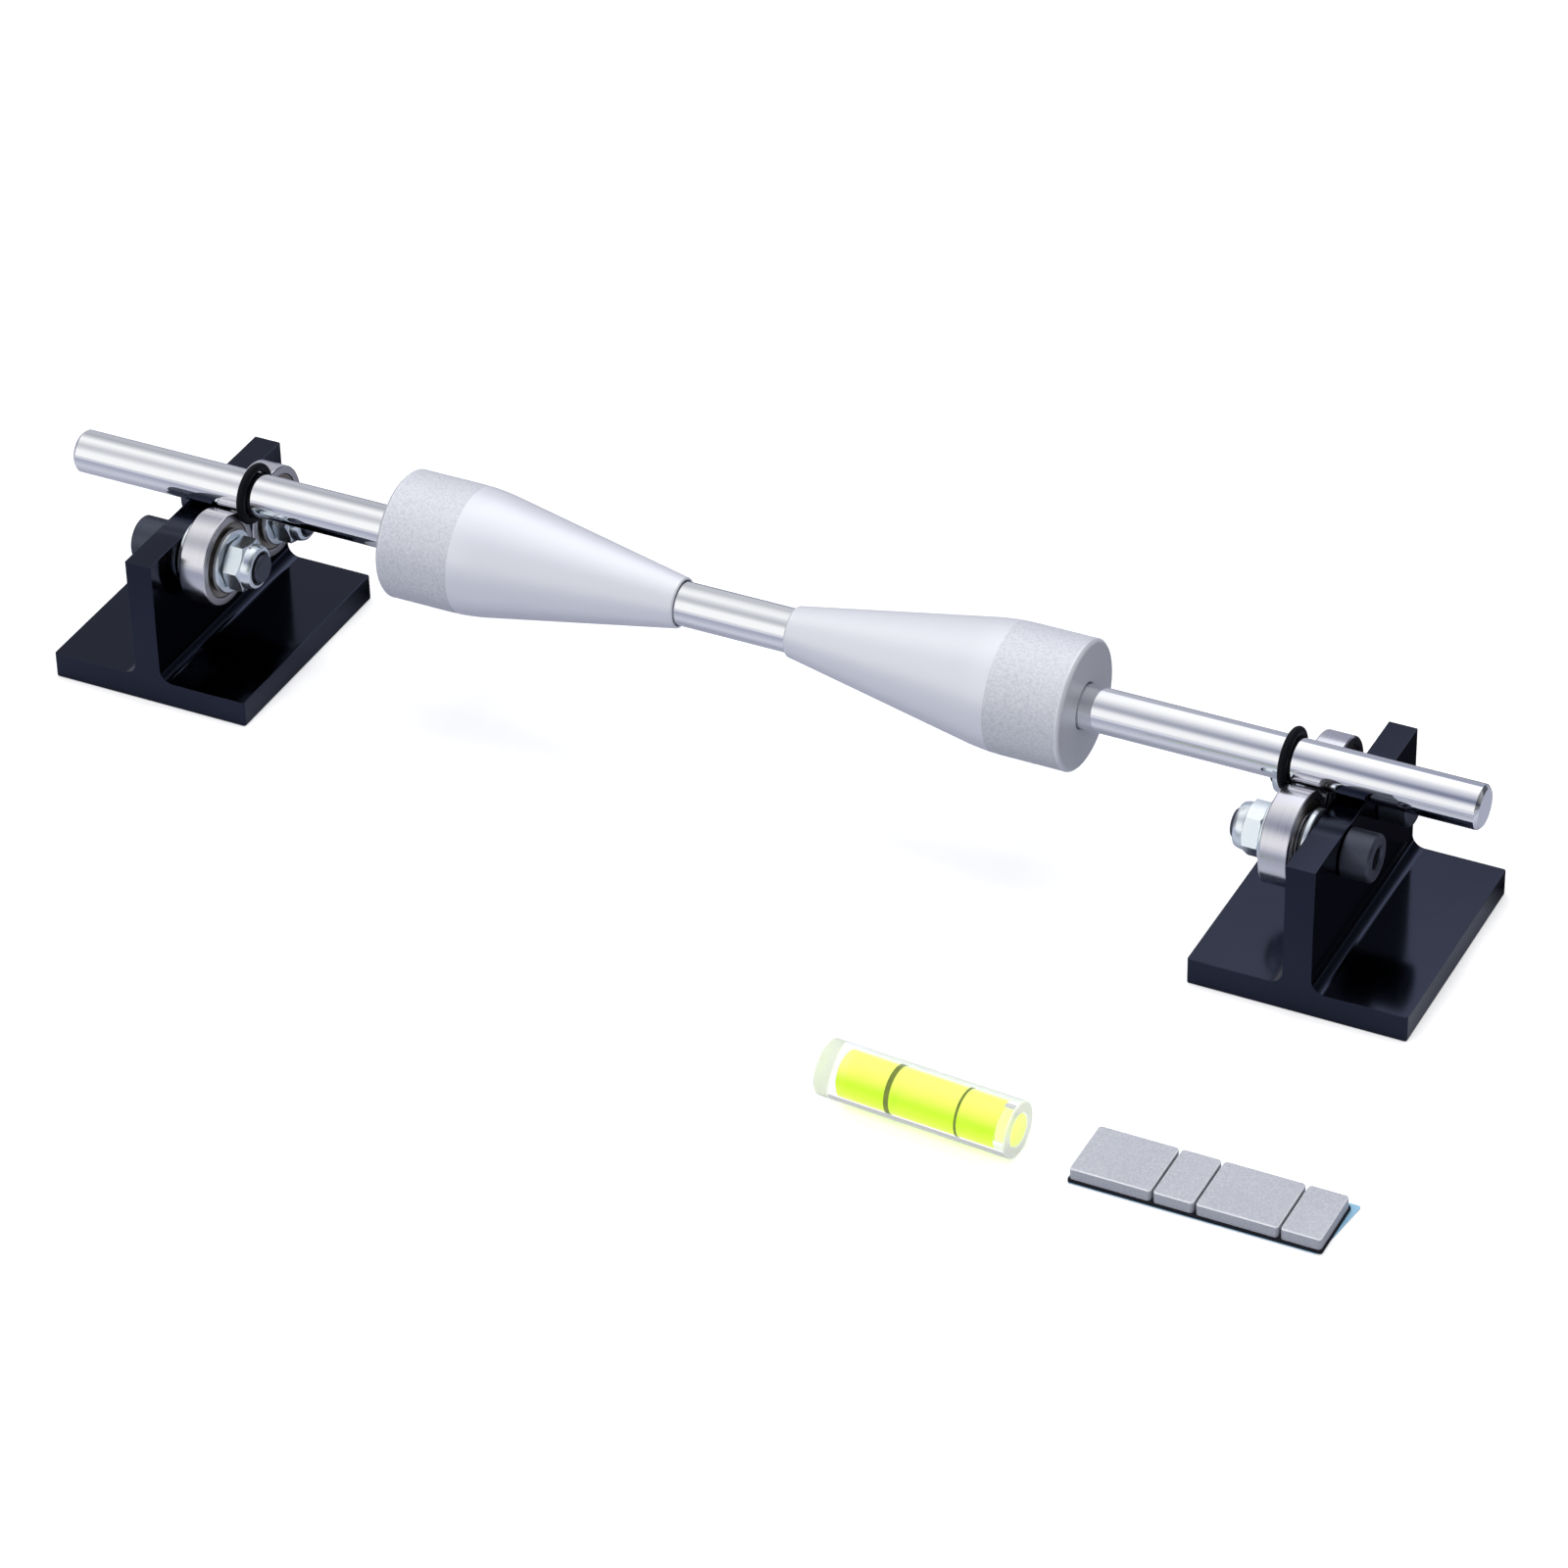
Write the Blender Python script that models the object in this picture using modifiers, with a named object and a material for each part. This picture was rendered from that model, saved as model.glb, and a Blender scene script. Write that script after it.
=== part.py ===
# Motorcycle wheel balancer.
# Two T shaped stands each carry a pair of ball bearings. A loose shaft lies in the grooves between
# the bearings, two cones on it hold a wheel by its hub, and two rubber rings stop it wandering.
# A bubble vial and a strip of stick-on weights lie on the bench in front.
# The origin is under the middle of the left stand, on the bench, with X along the shaft and Z up.

import math

import bmesh
import bpy
from mathutils import Matrix

MM = 0.001

# Gaps between pieces
fit_gap = 0.2 * MM          # around what passes through a hole, or is held in one
running_gap = 0.3 * MM      # between pieces that roll, turn or slide on each other
stack_gap = 0.25 * MM       # between the faces of pieces that one screw clamps
sheet_gap = 0.05 * MM       # between the layers of the weight strip
overrun = 2.0 * MM          # how far a cutter runs past what it cuts
merge_distance = 0.01 * MM  # points nearer than this are one
smooth_angle = math.radians(35)

# Shaft
shaft_diameter = 12.0 * MM
shaft_length = 410.0 * MM
shaft_chamfer = 1.0 * MM

# Stands
stand_span = 336.8 * MM     # between the middles of the two webs
shaft_offset = -1.2 * MM    # of the shaft's middle from the middle between the stands
base_width = 60.0 * MM      # along the shaft
base_depth = 70.0 * MM
base_thickness = 7.5 * MM
base_corner_radius = 0.8 * MM
web_thickness = 8.0 * MM
web_fillet = 3.5 * MM
web_top_gap = 0.7 * MM      # from the top of the web to the shaft
web_hole_clearance = 0.5 * MM
roller_axis_height = 37.1 * MM

# Cap screws, bushes, washers and lock nuts that carry the bearings
screw_diameter = 8.0 * MM
screw_tip_chamfer = 1.0 * MM
screw_tip_length = 0.6 * MM     # past the nut
head_shoulder = 2.5 * MM        # how far the head stands out round the shank
head_height = 8.0 * MM
head_chamfer = 0.6 * MM
head_socket_width = 6.0 * MM
head_socket_depth = 4.0 * MM
bush_wall = 0.6 * MM
flange_band = 4.0 * MM          # how far the flange stands out round the barrel
flange_thickness = 1.6 * MM
shoulder_band = 1.8 * MM        # how far the shoulder stands out round the bearing's bore
shoulder_height = 1.0 * MM      # it holds the bearing's rim off the flange
washer_band = 4.8 * MM          # from the washer's hole to its rim
washer_thickness = 1.6 * MM
washer_chamfer = 0.3 * MM
nut_wall = 2.5 * MM             # from the screw to a flat of the nut
nut_height = 8.0 * MM
nut_hex_height = 5.0 * MM
nut_chamfer = 0.7 * MM
nut_turn = math.radians(-8)     # how far the nut is turned about its screw
collar_wall = 1.15 * MM
collar_chamfer = 1.0 * MM
insert_wall = 0.75 * MM
insert_height = 1.8 * MM

# Ball bearings
bearing_diameter = 26.0 * MM
bearing_width = 8.0 * MM
bearing_pair_gap = 0.6 * MM     # between the two bearings of a stand
ring_chamfer = 0.5 * MM
ball_width_share = 0.595        # a ball's diameter as a share of the bearing's width
land_share = 0.67               # from the ball circle to a ring, as a share of the ball's radius
ball_count = 7
cage_thickness = 1.2 * MM
cage_band = 1.2 * MM
shield_thickness = 0.5 * MM
shield_recess = 0.4 * MM

# Rubber rings on the shaft
ring_section = 2.4 * MM

# Cones and their grub screws
cone_diameter = 35.5 * MM
cone_length = 83.4 * MM
cone_barrel_length = 18.0 * MM
cone_shoulder_radius = 60.0 * MM
cone_nose_wall = 0.65 * MM
cone_rim_chamfer = 0.8 * MM
cone_nose_chamfer = 0.3 * MM
left_nose_distance = 20.0 * MM      # from the middle of the shaft
right_nose_distance = 12.5 * MM
grub_distance = 9.0 * MM            # from the large face of the cone
grub_diameter = 5.0 * MM
grub_sink = 1.5 * MM                # below the cone's skin
grub_chamfer = 0.5 * MM
grub_socket_width = 2.5 * MM
grub_socket_depth = 3.0 * MM

# Bubble vial
vial_diameter = 15.0 * MM
vial_length = 54.0 * MM
vial_wall = 3.0 * MM
vial_end_wall = 5.0 * MM
vial_edge_chamfer = 0.5 * MM
vial_plug_length = 4.0 * MM
bubble_diameter = 3.0 * MM
bubble_length = 10.0 * MM
bubble_travel = 9.0 * MM
vial_from_middle = 102.9 * MM       # along the shaft, from its middle
vial_from_shaft = 114.8 * MM        # towards the front
vial_turn = math.radians(-3.7)

# Weight strip
weight_depth = 18.7 * MM
weight_height = 3.2 * MM
large_weight_length = 21.3 * MM
small_weight_length = 10.4 * MM
weight_spacing = 0.9 * MM
weight_edge_radius = 0.7 * MM
tape_thickness = 0.8 * MM
tape_margin = 0.4 * MM
liner_thickness = 0.2 * MM
liner_overhang = 2.2 * MM
strip_from_middle = 178.35 * MM
strip_from_shaft = 112.0 * MM

# Facets round each piece
fine_steps = 32
ring_steps = 24
small_steps = 20
arc_steps = 5
groove_steps = 3

# Places that follow from the sizes
shaft_radius = shaft_diameter / 2
screw_radius = screw_diameter / 2
hole_radius = screw_radius + fit_gap
bearing_radius = bearing_diameter / 2
bore_radius = hole_radius + bush_wall + fit_gap
roller_offset = bearing_radius + bearing_pair_gap / 2
shaft_height = roller_axis_height + math.sqrt(
    (shaft_radius + running_gap + bearing_radius) ** 2 - roller_offset ** 2)
web_top = shaft_height - shaft_radius - web_top_gap
shaft_middle = stand_span / 2 + shaft_offset

# Places along a bearing's screw, from the middle of the web towards the middle of the shaft
head_start = -(web_thickness / 2 + stack_gap)
flange_start = web_thickness / 2 + stack_gap
flange_end = flange_start + flange_thickness
shoulder_end = flange_end + shoulder_height
bearing_start = shoulder_end + stack_gap
bearing_end = bearing_start + bearing_width
washer_start = bearing_end + stack_gap
nut_start = washer_start + washer_thickness + stack_gap
nut_end = nut_start + nut_height
screw_end = nut_end + screw_tip_length

QUARTER = math.pi / 2
TO_X = (0, QUARTER, 0)      # turns a piece's own Z to point along X


def start_clean():
    for item in list(bpy.data.objects):
        bpy.data.objects.remove(item, do_unlink=True)


def collection(name):
    made = bpy.data.collections.new(name)
    bpy.context.scene.collection.children.link(made)
    return made


def material(name, colour, metallic, roughness):
    made = bpy.data.materials.new(name)
    made.use_nodes = True
    shader = made.node_tree.nodes["Principled BSDF"]
    shader.inputs["Base Color"].default_value = (*colour, 1)
    shader.inputs["Metallic"].default_value = metallic
    shader.inputs["Roughness"].default_value = roughness
    made.diffuse_color = (*colour, 1)
    return made


def frame(name, parent=None, place=(0, 0, 0), turn=(0, 0, 0)):
    """An empty that holds the pieces of one moving or fixed group."""
    made = bpy.data.objects.new(name, None)
    parts.objects.link(made)
    made.parent = parent
    made.location = place
    made.rotation_euler = turn
    return made


def piece(name, mesh, finish, parent, place=(0, 0, 0), turn=(0, 0, 0)):
    made = bpy.data.objects.new(name, mesh)
    parts.objects.link(made)
    made.parent = parent
    made.location = place
    made.rotation_euler = turn
    mesh.materials.append(finish)
    return made


def cutter(name, mesh, parent, place=(0, 0, 0), turn=(0, 0, 0)):
    made = bpy.data.objects.new(name, mesh)
    cutters.objects.link(made)
    made.parent = parent
    made.location = place
    made.rotation_euler = turn
    made.hide_render = True
    made.display_type = "WIRE"
    return made


def combine(target, other, operation):
    modifier = target.modifiers.new(other.name, "BOOLEAN")
    modifier.operation = operation
    modifier.solver = "EXACT"
    modifier.object = other


def profile_mesh(name, points):
    """A closed outline in the XZ plane, or one that starts and ends on the Z axis."""
    outline = bmesh.new()
    made = [outline.verts.new((radius, 0, height)) for radius, height in points]
    pairs = list(zip(made, made[1:]))
    if points[0][0] > 0 or points[-1][0] > 0:
        pairs.append((made[-1], made[0]))
    for pair in pairs:
        outline.edges.new(pair)
    mesh = bpy.data.meshes.new(name)
    outline.to_mesh(mesh)
    outline.free()
    return mesh


def turn_profile(target, steps):
    """Turns the outline once round the piece's own Z axis."""
    modifier = target.modifiers.new("turn", "SCREW")
    modifier.axis = "Z"
    modifier.angle = 2 * math.pi
    modifier.steps = steps
    modifier.render_steps = steps
    modifier.use_merge_vertices = True
    modifier.merge_threshold = merge_distance
    modifier.use_smooth_shade = True
    return target


def turned(name, points, steps, finish, parent, place=(0, 0, 0), turn=(0, 0, 0)):
    return turn_profile(piece(name, profile_mesh(name, points), finish, parent, place, turn), steps)


def mesh_from(name, build, smooth=False):
    shape = bmesh.new()
    build(shape)
    mesh = bpy.data.meshes.new(name)
    shape.to_mesh(mesh)
    shape.free()
    if smooth:
        mesh.shade_smooth()
        mesh.set_sharp_from_angle(angle=smooth_angle)
    return mesh


def cylinder_mesh(name, radius, length, steps, smooth=True):
    """A cylinder along Z that starts at its origin; six steps make a hexagon."""
    def build(shape):
        bmesh.ops.create_cone(
            shape, cap_ends=True, segments=steps, radius1=radius, radius2=radius, depth=length,
            matrix=Matrix.Translation((0, 0, length / 2)))
    return mesh_from(name, build, smooth)


def hexagon_mesh(name, width, length):
    """A six-sided bar of the given width across its flats."""
    return cylinder_mesh(name, width / math.sqrt(3), length, 6, smooth=False)


def box_mesh(name, size, edge_radius=0.0):
    """A box that stands on its origin, with its upright and upper edges rounded."""
    def build(shape):
        bmesh.ops.create_cube(shape, size=1)
        bmesh.ops.transform(shape, verts=shape.verts, matrix=Matrix.Translation((0, 0, size[2] / 2))
                            @ Matrix.Diagonal((*size, 1)))
        if edge_radius:
            middle = size[2] / 2
            chosen = [edge for edge in shape.edges if any(vert.co.z > middle for vert in edge.verts)]
            bmesh.ops.bevel(shape, geom=chosen, offset=edge_radius, segments=2, profile=0.5,
                            affect="EDGES", clamp_overlap=True, material=-1)
    return mesh_from(name, build, smooth=edge_radius > 0)


def arc(centre, radius, start, end, steps):
    """Points along an arc, as (across, up), with its angles from the first axis."""
    angles = [start + (end - start) * step / steps for step in range(steps + 1)]
    return [(centre[0] + radius * math.cos(angle), centre[1] + radius * math.sin(angle))
            for angle in angles]


def stand_outline():
    """The T section of a stand, seen along the shaft's right angle, as (along X, up Z)."""
    half_base = base_width / 2
    half_web = web_thickness / 2
    fillet_x = half_web + web_fillet
    fillet_z = base_thickness + web_fillet
    right = [(half_base, 0), (half_base, base_thickness)]
    right += arc((fillet_x, fillet_z), web_fillet, -QUARTER, -2 * QUARTER, arc_steps)
    right += [(half_web, web_top)]
    left = [(-x, z) for x, z in reversed(right)]
    return right + left


def bracket(name, finish, parent):
    """One extruded T, cut to length, with its four upright corners rounded."""
    outline = bpy.data.curves.new(name + "_outline", "CURVE")
    outline.dimensions = "2D"
    outline.fill_mode = "BOTH"
    outline.extrude = base_depth / 2
    points = stand_outline()
    spline = outline.splines.new("POLY")
    spline.points.add(len(points) - 1)
    for point, (x, z) in zip(spline.points, points):
        point.co = (x, z, 0, 1)
    spline.use_cyclic_u = True
    drawn = bpy.data.objects.new(name + "_outline", outline)
    parts.objects.link(drawn)
    bpy.context.view_layer.update()
    solid = bpy.data.meshes.new_from_object(drawn.evaluated_get(bpy.context.evaluated_depsgraph_get()))
    bpy.data.objects.remove(drawn, do_unlink=True)

    shape = bmesh.new()
    shape.from_mesh(solid)
    bmesh.ops.remove_doubles(shape, verts=shape.verts, dist=merge_distance)
    bmesh.ops.rotate(shape, verts=shape.verts, matrix=Matrix.Rotation(QUARTER, 3, "X"))
    upright = [edge for edge in shape.edges
               if all(abs(abs(vert.co.x) - base_width / 2) < merge_distance for vert in edge.verts)
               and abs((edge.verts[0].co - edge.verts[1].co).z) > base_thickness / 2]
    bmesh.ops.bevel(shape, geom=upright, offset=base_corner_radius, segments=3, profile=0.5,
                    affect="EDGES", clamp_overlap=True, material=-1)
    bmesh.ops.recalc_face_normals(shape, faces=shape.faces)
    shape.to_mesh(solid)
    shape.free()
    solid.name = name
    made = piece(name, solid, finish, parent)
    for side in (-1, 1):
        hole = cutter(
            f"{name}_hole_{'front' if side < 0 else 'rear'}",
            cylinder_mesh(name + "_hole", screw_radius + web_hole_clearance,
                          web_thickness + 2 * overrun, small_steps),
            parent, (-web_thickness / 2 - overrun, side * roller_offset, roller_axis_height), TO_X)
        combine(made, hole, "DIFFERENCE")
    return made


def cap_screw(name, parent):
    """A socket head screw, its head outside the web and its tip past the nut."""
    head_radius = screw_radius + head_shoulder
    head_top = head_start - head_height
    points = [
        (0, screw_end), (screw_radius - screw_tip_chamfer, screw_end),
        (screw_radius, screw_end - screw_tip_chamfer), (screw_radius, head_start),
        (head_radius, head_start), (head_radius, head_top + head_chamfer),
        (head_radius - head_chamfer, head_top), (0, head_top)]
    made = turned(name, points, small_steps, black_oxide, parent)
    socket = cutter(name + "_socket", hexagon_mesh(name + "_socket", head_socket_width,
                                                   head_socket_depth + overrun),
                    parent, (0, 0, head_top - overrun))
    combine(made, socket, "DIFFERENCE")


def flanged_bush(name, parent):
    """Fills the bearing's bore round the screw; its flange lies on the web, and its shoulder
    holds the bearing off the flange."""
    barrel = hole_radius + bush_wall
    shoulder = bore_radius + shoulder_band
    rim = bore_radius + flange_band
    points = [
        (barrel, bearing_end), (barrel, shoulder_end), (shoulder, shoulder_end),
        (shoulder, flange_end), (rim, flange_end), (rim, flange_start),
        (hole_radius, flange_start), (hole_radius, bearing_end)]
    turned(name, points, small_steps, zinc, parent)


def washer(name, parent):
    rim = hole_radius + washer_band
    end = washer_start + washer_thickness
    points = [
        (rim - washer_chamfer, end), (rim, end - washer_chamfer), (rim, washer_start),
        (hole_radius, washer_start), (hole_radius, end)]
    turned(name, points, small_steps, zinc, parent)


def lock_nut(name, parent):
    """A hexagon nut with a round collar at its end that grips a nylon ring."""
    flat = screw_radius + nut_wall
    blank_radius = 2 * flat / math.sqrt(3) + fit_gap
    seat = hole_radius + insert_wall + fit_gap
    collar = seat + collar_wall
    hex_end = nut_start + nut_hex_height
    seat_floor = nut_end - insert_height - fit_gap
    points = [
        (collar - collar_chamfer, nut_end), (collar, nut_end - collar_chamfer), (collar, hex_end),
        (flat, hex_end), (blank_radius, hex_end - nut_chamfer),
        (blank_radius, nut_start + nut_chamfer), (flat, nut_start), (hole_radius, nut_start),
        (hole_radius, seat_floor), (seat, seat_floor), (seat, nut_end)]
    made = turned(name, points, small_steps, zinc, parent)
    blank = cutter(name + "_blank", hexagon_mesh(name + "_blank", 2 * flat, nut_height + 2 * overrun),
                   parent, (0, 0, nut_start - overrun), (0, 0, nut_turn))
    combine(made, blank, "INTERSECT")


def nylon_insert(name, parent):
    floor = nut_end - insert_height
    wall = hole_radius + insert_wall
    points = [(wall, nut_end), (wall, floor), (hole_radius, floor), (hole_radius, nut_end)]
    turned(name, points, small_steps, black_nylon, parent)


ball_radius = ball_width_share * bearing_width / 2
ball_circle = (bore_radius + bearing_radius) / 2
land_reach = land_share * ball_radius
bearing_middle = bearing_start + bearing_width / 2


def groove(facing):
    """The race in a ring's land, for a ring that lies outside the balls (0) or inside (pi)."""
    reach = math.acos(land_reach / ball_radius)
    return arc((ball_circle, bearing_middle), ball_radius, facing - reach, facing + reach,
               groove_steps)


def outer_ring(name, parent):
    land = ball_circle + land_reach
    points = [
        (bearing_radius - ring_chamfer, bearing_end), (bearing_radius, bearing_end - ring_chamfer),
        (bearing_radius, bearing_start + ring_chamfer), (bearing_radius - ring_chamfer, bearing_start),
        (land, bearing_start)]
    points += groove(0)
    points += [(land, bearing_end)]
    turned(name, points, ring_steps, bearing_steel, parent)


def inner_ring(name, parent):
    land = ball_circle - land_reach
    points = [(land, bearing_end)]
    points += groove(2 * QUARTER)
    points += [
        (land, bearing_start), (bore_radius + ring_chamfer, bearing_start),
        (bore_radius, bearing_start + ring_chamfer), (bore_radius, bearing_end - ring_chamfer),
        (bore_radius + ring_chamfer, bearing_end)]
    turned(name, points, small_steps, bearing_steel, parent)


def ball_cage(name, parent):
    """The flat cage ring with its balls; it turns at its own speed between the rings."""
    half_band = cage_band / 2
    half_cage = cage_thickness / 2
    points = [
        (ball_circle + half_band, bearing_middle + half_cage),
        (ball_circle + half_band, bearing_middle - half_cage),
        (ball_circle - half_band, bearing_middle - half_cage),
        (ball_circle - half_band, bearing_middle + half_cage)]
    made = turned(name, points, ring_steps, bearing_steel, parent)

    def balls(shape):
        for ball in range(ball_count):
            turn = Matrix.Rotation(2 * math.pi * ball / ball_count, 4, "Z")
            place = Matrix.Translation((ball_circle, 0, bearing_middle))
            bmesh.ops.create_uvsphere(shape, u_segments=7, v_segments=5,
                                      radius=ball_radius - running_gap, matrix=turn @ place)
    combine(made, cutter(name + "_balls", mesh_from(name + "_balls", balls, True), parent), "UNION")


def shield(name, parent, start):
    """A thin plate that closes one side of the bearing; it is held in the outer ring."""
    outside = ball_circle + land_reach - fit_gap
    inside = ball_circle - land_reach + running_gap
    end = start + shield_thickness
    points = [(outside, end), (outside, start), (inside, start), (inside, end)]
    turned(name, points, small_steps, shield_steel, parent)


def roller(name, stand, place):
    """One bearing on its screw, along an axis that points towards the middle of the shaft."""
    axis = frame(name + "_axis", stand, place, TO_X)
    cap_screw(name + "_cap_screw", axis)
    flanged_bush(name + "_flanged_bush", axis)
    inner_ring(name + "_inner_ring", axis)
    washer(name + "_washer", axis)
    lock_nut(name + "_lock_nut", axis)
    nylon_insert(name + "_nylon_insert", axis)
    ball_cage(name + "_ball_cage", axis)
    outer_ring(name + "_outer_ring", axis)
    shield(name + "_outboard_shield", axis, bearing_start + shield_recess)
    shield(name + "_inboard_shield", axis, bearing_end - shield_recess - shield_thickness)


def stand(name, place, facing):
    """A bracket and its two bearings; facing is 1 when the middle of the shaft lies towards +X."""
    turn = 0 if facing > 0 else 2 * QUARTER
    group = frame(name + "_stand", None, (place, 0, 0), (0, 0, turn))
    bracket(name + "_bracket", black_anodised, group)
    for label, side in (("front", -1), ("rear", 1)):
        roller(f"{name}_{label}", group, (0, side * facing * roller_offset, roller_axis_height))


def shaft(parent):
    half = shaft_length / 2
    points = [
        (0, half), (shaft_radius - shaft_chamfer, half), (shaft_radius, half - shaft_chamfer),
        (shaft_radius, shaft_chamfer - half), (shaft_radius - shaft_chamfer, -half), (0, -half)]
    turned("shaft", points, fine_steps, chrome, parent)


def rubber_ring(name, parent, distance):
    """A ring of round section that grips the shaft beside a pair of bearings."""
    bpy.ops.mesh.primitive_torus_add(
        major_segments=ring_steps, minor_segments=8,
        major_radius=shaft_radius + fit_gap + ring_section / 2, minor_radius=ring_section / 2)
    made = bpy.context.object
    for group in list(made.users_collection):
        group.objects.unlink(made)
    parts.objects.link(made)
    made.name = name
    made.data.name = name
    made.parent = parent
    made.location = (0, 0, distance)
    made.data.materials.append(rubber)
    made.data.shade_smooth()


def cone_outline():
    """Half the section of a cone, its large face at zero and its nose at its length."""
    rim = cone_diameter / 2
    bore = shaft_radius + running_gap
    nose = bore + cone_nose_wall
    across = nose - (rim - cone_shoulder_radius)
    along = cone_length - cone_barrel_length
    reach = math.hypot(along, across)
    slope = math.atan2(across, along) + math.acos(cone_shoulder_radius / reach)
    shoulder = arc((cone_barrel_length, rim - cone_shoulder_radius), cone_shoulder_radius,
                   slope, QUARTER, arc_steps)
    outside = [(bore, cone_length), (nose - cone_nose_chamfer, cone_length)]
    outside += [(nose, cone_length - cone_nose_chamfer)]
    outside += [(radius, distance) for distance, radius in shoulder]
    outside += [(rim, cone_rim_chamfer), (rim - cone_rim_chamfer, 0), (bore, 0)]
    return outside


def grub_screw(name, parent):
    """A headless screw that pins the cone to the shaft, along the group's own Z axis."""
    radius = grub_diameter / 2
    start = shaft_radius + running_gap
    end = cone_diameter / 2 - grub_sink
    points = [
        (0, end), (radius - grub_chamfer, end), (radius, end - grub_chamfer),
        (radius, start + grub_chamfer), (radius - grub_chamfer, start), (0, start)]
    made = turned(name, points, small_steps // 2, black_oxide, parent)
    socket = cutter(name + "_socket", hexagon_mesh(name + "_socket", grub_socket_width,
                                                   grub_socket_depth + overrun),
                    parent, (0, 0, end - grub_socket_depth))
    combine(made, socket, "DIFFERENCE")


def cone(name, parent, face, facing):
    """A cone with its large face at the given place along the shaft and its nose inwards."""
    group = frame(name + "_frame", parent, (0, 0, face), (0 if facing > 0 else 2 * QUARTER, 0, 0))
    made = turned(name, cone_outline(), fine_steps, silver, group)
    side = frame(name + "_grub_axis", group, (0, 0, grub_distance), (-QUARTER * facing, 0, 0))
    hole = cutter(name + "_grub_hole",
                  cylinder_mesh(name + "_grub_hole", grub_diameter / 2 + fit_gap,
                                cone_diameter / 2, small_steps // 2), side,
                  (0, 0, shaft_radius))
    combine(made, hole, "DIFFERENCE")
    grub_screw(name + "_grub_screw", side)


def shaft_group():
    """The shaft and all that turns with it; the group's own Z axis lies along the shaft."""
    axis = frame("shaft_axis", None, (shaft_middle, 0, shaft_height), TO_X)
    shaft(axis)
    reach = stand_span / 2 - bearing_end - running_gap - ring_section / 2
    rubber_ring("left_rubber_ring", axis, -reach - shaft_offset)
    rubber_ring("right_rubber_ring", axis, reach - shaft_offset)
    cone("left_cone", axis, -left_nose_distance - cone_length, 1)
    cone("right_cone", axis, right_nose_distance + cone_length, -1)


def vial():
    """A clear tube, closed by a plug, that is filled with a coloured liquid and one bubble."""
    radius = vial_diameter / 2
    chamber = radius - vial_wall
    half = vial_length / 2
    floor = vial_end_wall - half
    plug_start = half - vial_plug_length
    group = frame("vial_axis", None, (shaft_middle + vial_from_middle, -vial_from_shaft, radius),
                  (0, QUARTER, vial_turn))
    tube = [
        (radius - vial_edge_chamfer, half), (radius, half - vial_edge_chamfer),
        (radius, vial_edge_chamfer - half), (radius - vial_edge_chamfer, -half), (0, -half),
        (0, floor), (chamber, floor), (chamber, half)]
    made = profile_mesh("vial_tube", tube)
    shape = bmesh.new()
    shape.from_mesh(made)
    closing = [edge for edge in shape.edges if all(vert.co.x == 0 for vert in edge.verts)]
    bmesh.ops.delete(shape, geom=closing, context="EDGES")
    shape.to_mesh(made)
    shape.free()
    turn_profile(piece("vial_tube", made, clear_acrylic, group), fine_steps)
    turned("vial_plug", [(0, half), (chamber - fit_gap, half), (chamber - fit_gap, plug_start),
                         (0, plug_start)], small_steps, clear_acrylic, group)
    skin = chamber - fit_gap
    liquid_start = floor + fit_gap
    liquid_end = plug_start - fit_gap
    liquid = turned("vial_liquid", [(0, liquid_end), (skin, liquid_end), (skin, liquid_start),
                                    (0, liquid_start)], ring_steps, green_liquid, group)
    bubble_radius = bubble_diameter / 2
    depth = skin - bubble_radius
    channel = bubble_length + 2 * (bubble_travel + running_gap)
    middle = (liquid_start + liquid_end) / 2
    slot = cutter("vial_liquid_slot",
                  cylinder_mesh("vial_liquid_slot", bubble_radius + running_gap, channel,
                                small_steps // 2), group, (-depth, 0, middle - channel / 2))
    combine(liquid, slot, "DIFFERENCE")

    def bubble(shape):
        bmesh.ops.create_uvsphere(shape, u_segments=12, v_segments=8, radius=1,
                                  matrix=Matrix.Diagonal((bubble_radius, bubble_radius,
                                                          bubble_length / 2, 1)))
    piece("vial_bubble", mesh_from("vial_bubble", bubble, True), air, group, (-depth, 0, middle))


def weight_strip():
    """Four stick-on steel weights on one foam tape, still on its backing film."""
    lengths = (large_weight_length, small_weight_length, large_weight_length, small_weight_length)
    total = sum(lengths) + weight_spacing * (len(lengths) - 1)
    group = frame("weight_strip_frame", None,
                  (shaft_middle + strip_from_middle, -strip_from_shaft, 0))
    tape_size = (total + 2 * tape_margin, weight_depth + 2 * tape_margin, tape_thickness)
    liner_size = (tape_size[0] + liner_overhang, tape_size[1] + liner_overhang, liner_thickness)
    tape_floor = liner_thickness + sheet_gap
    piece("backing_film", box_mesh("backing_film", liner_size), blue_film, group,
          (liner_overhang / 2, liner_overhang / 2, 0))
    piece("foam_tape", box_mesh("foam_tape", tape_size), foam, group, (0, 0, tape_floor))
    weight_floor = tape_floor + tape_thickness + sheet_gap
    place = -total / 2
    for number, length in enumerate(lengths, 1):
        name = f"weight_{number}"
        mesh = box_mesh(name, (length, weight_depth, weight_height), weight_edge_radius)
        piece(name, mesh, weight_steel, group, (place + length / 2, 0, weight_floor))
        place += length + weight_spacing


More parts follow.
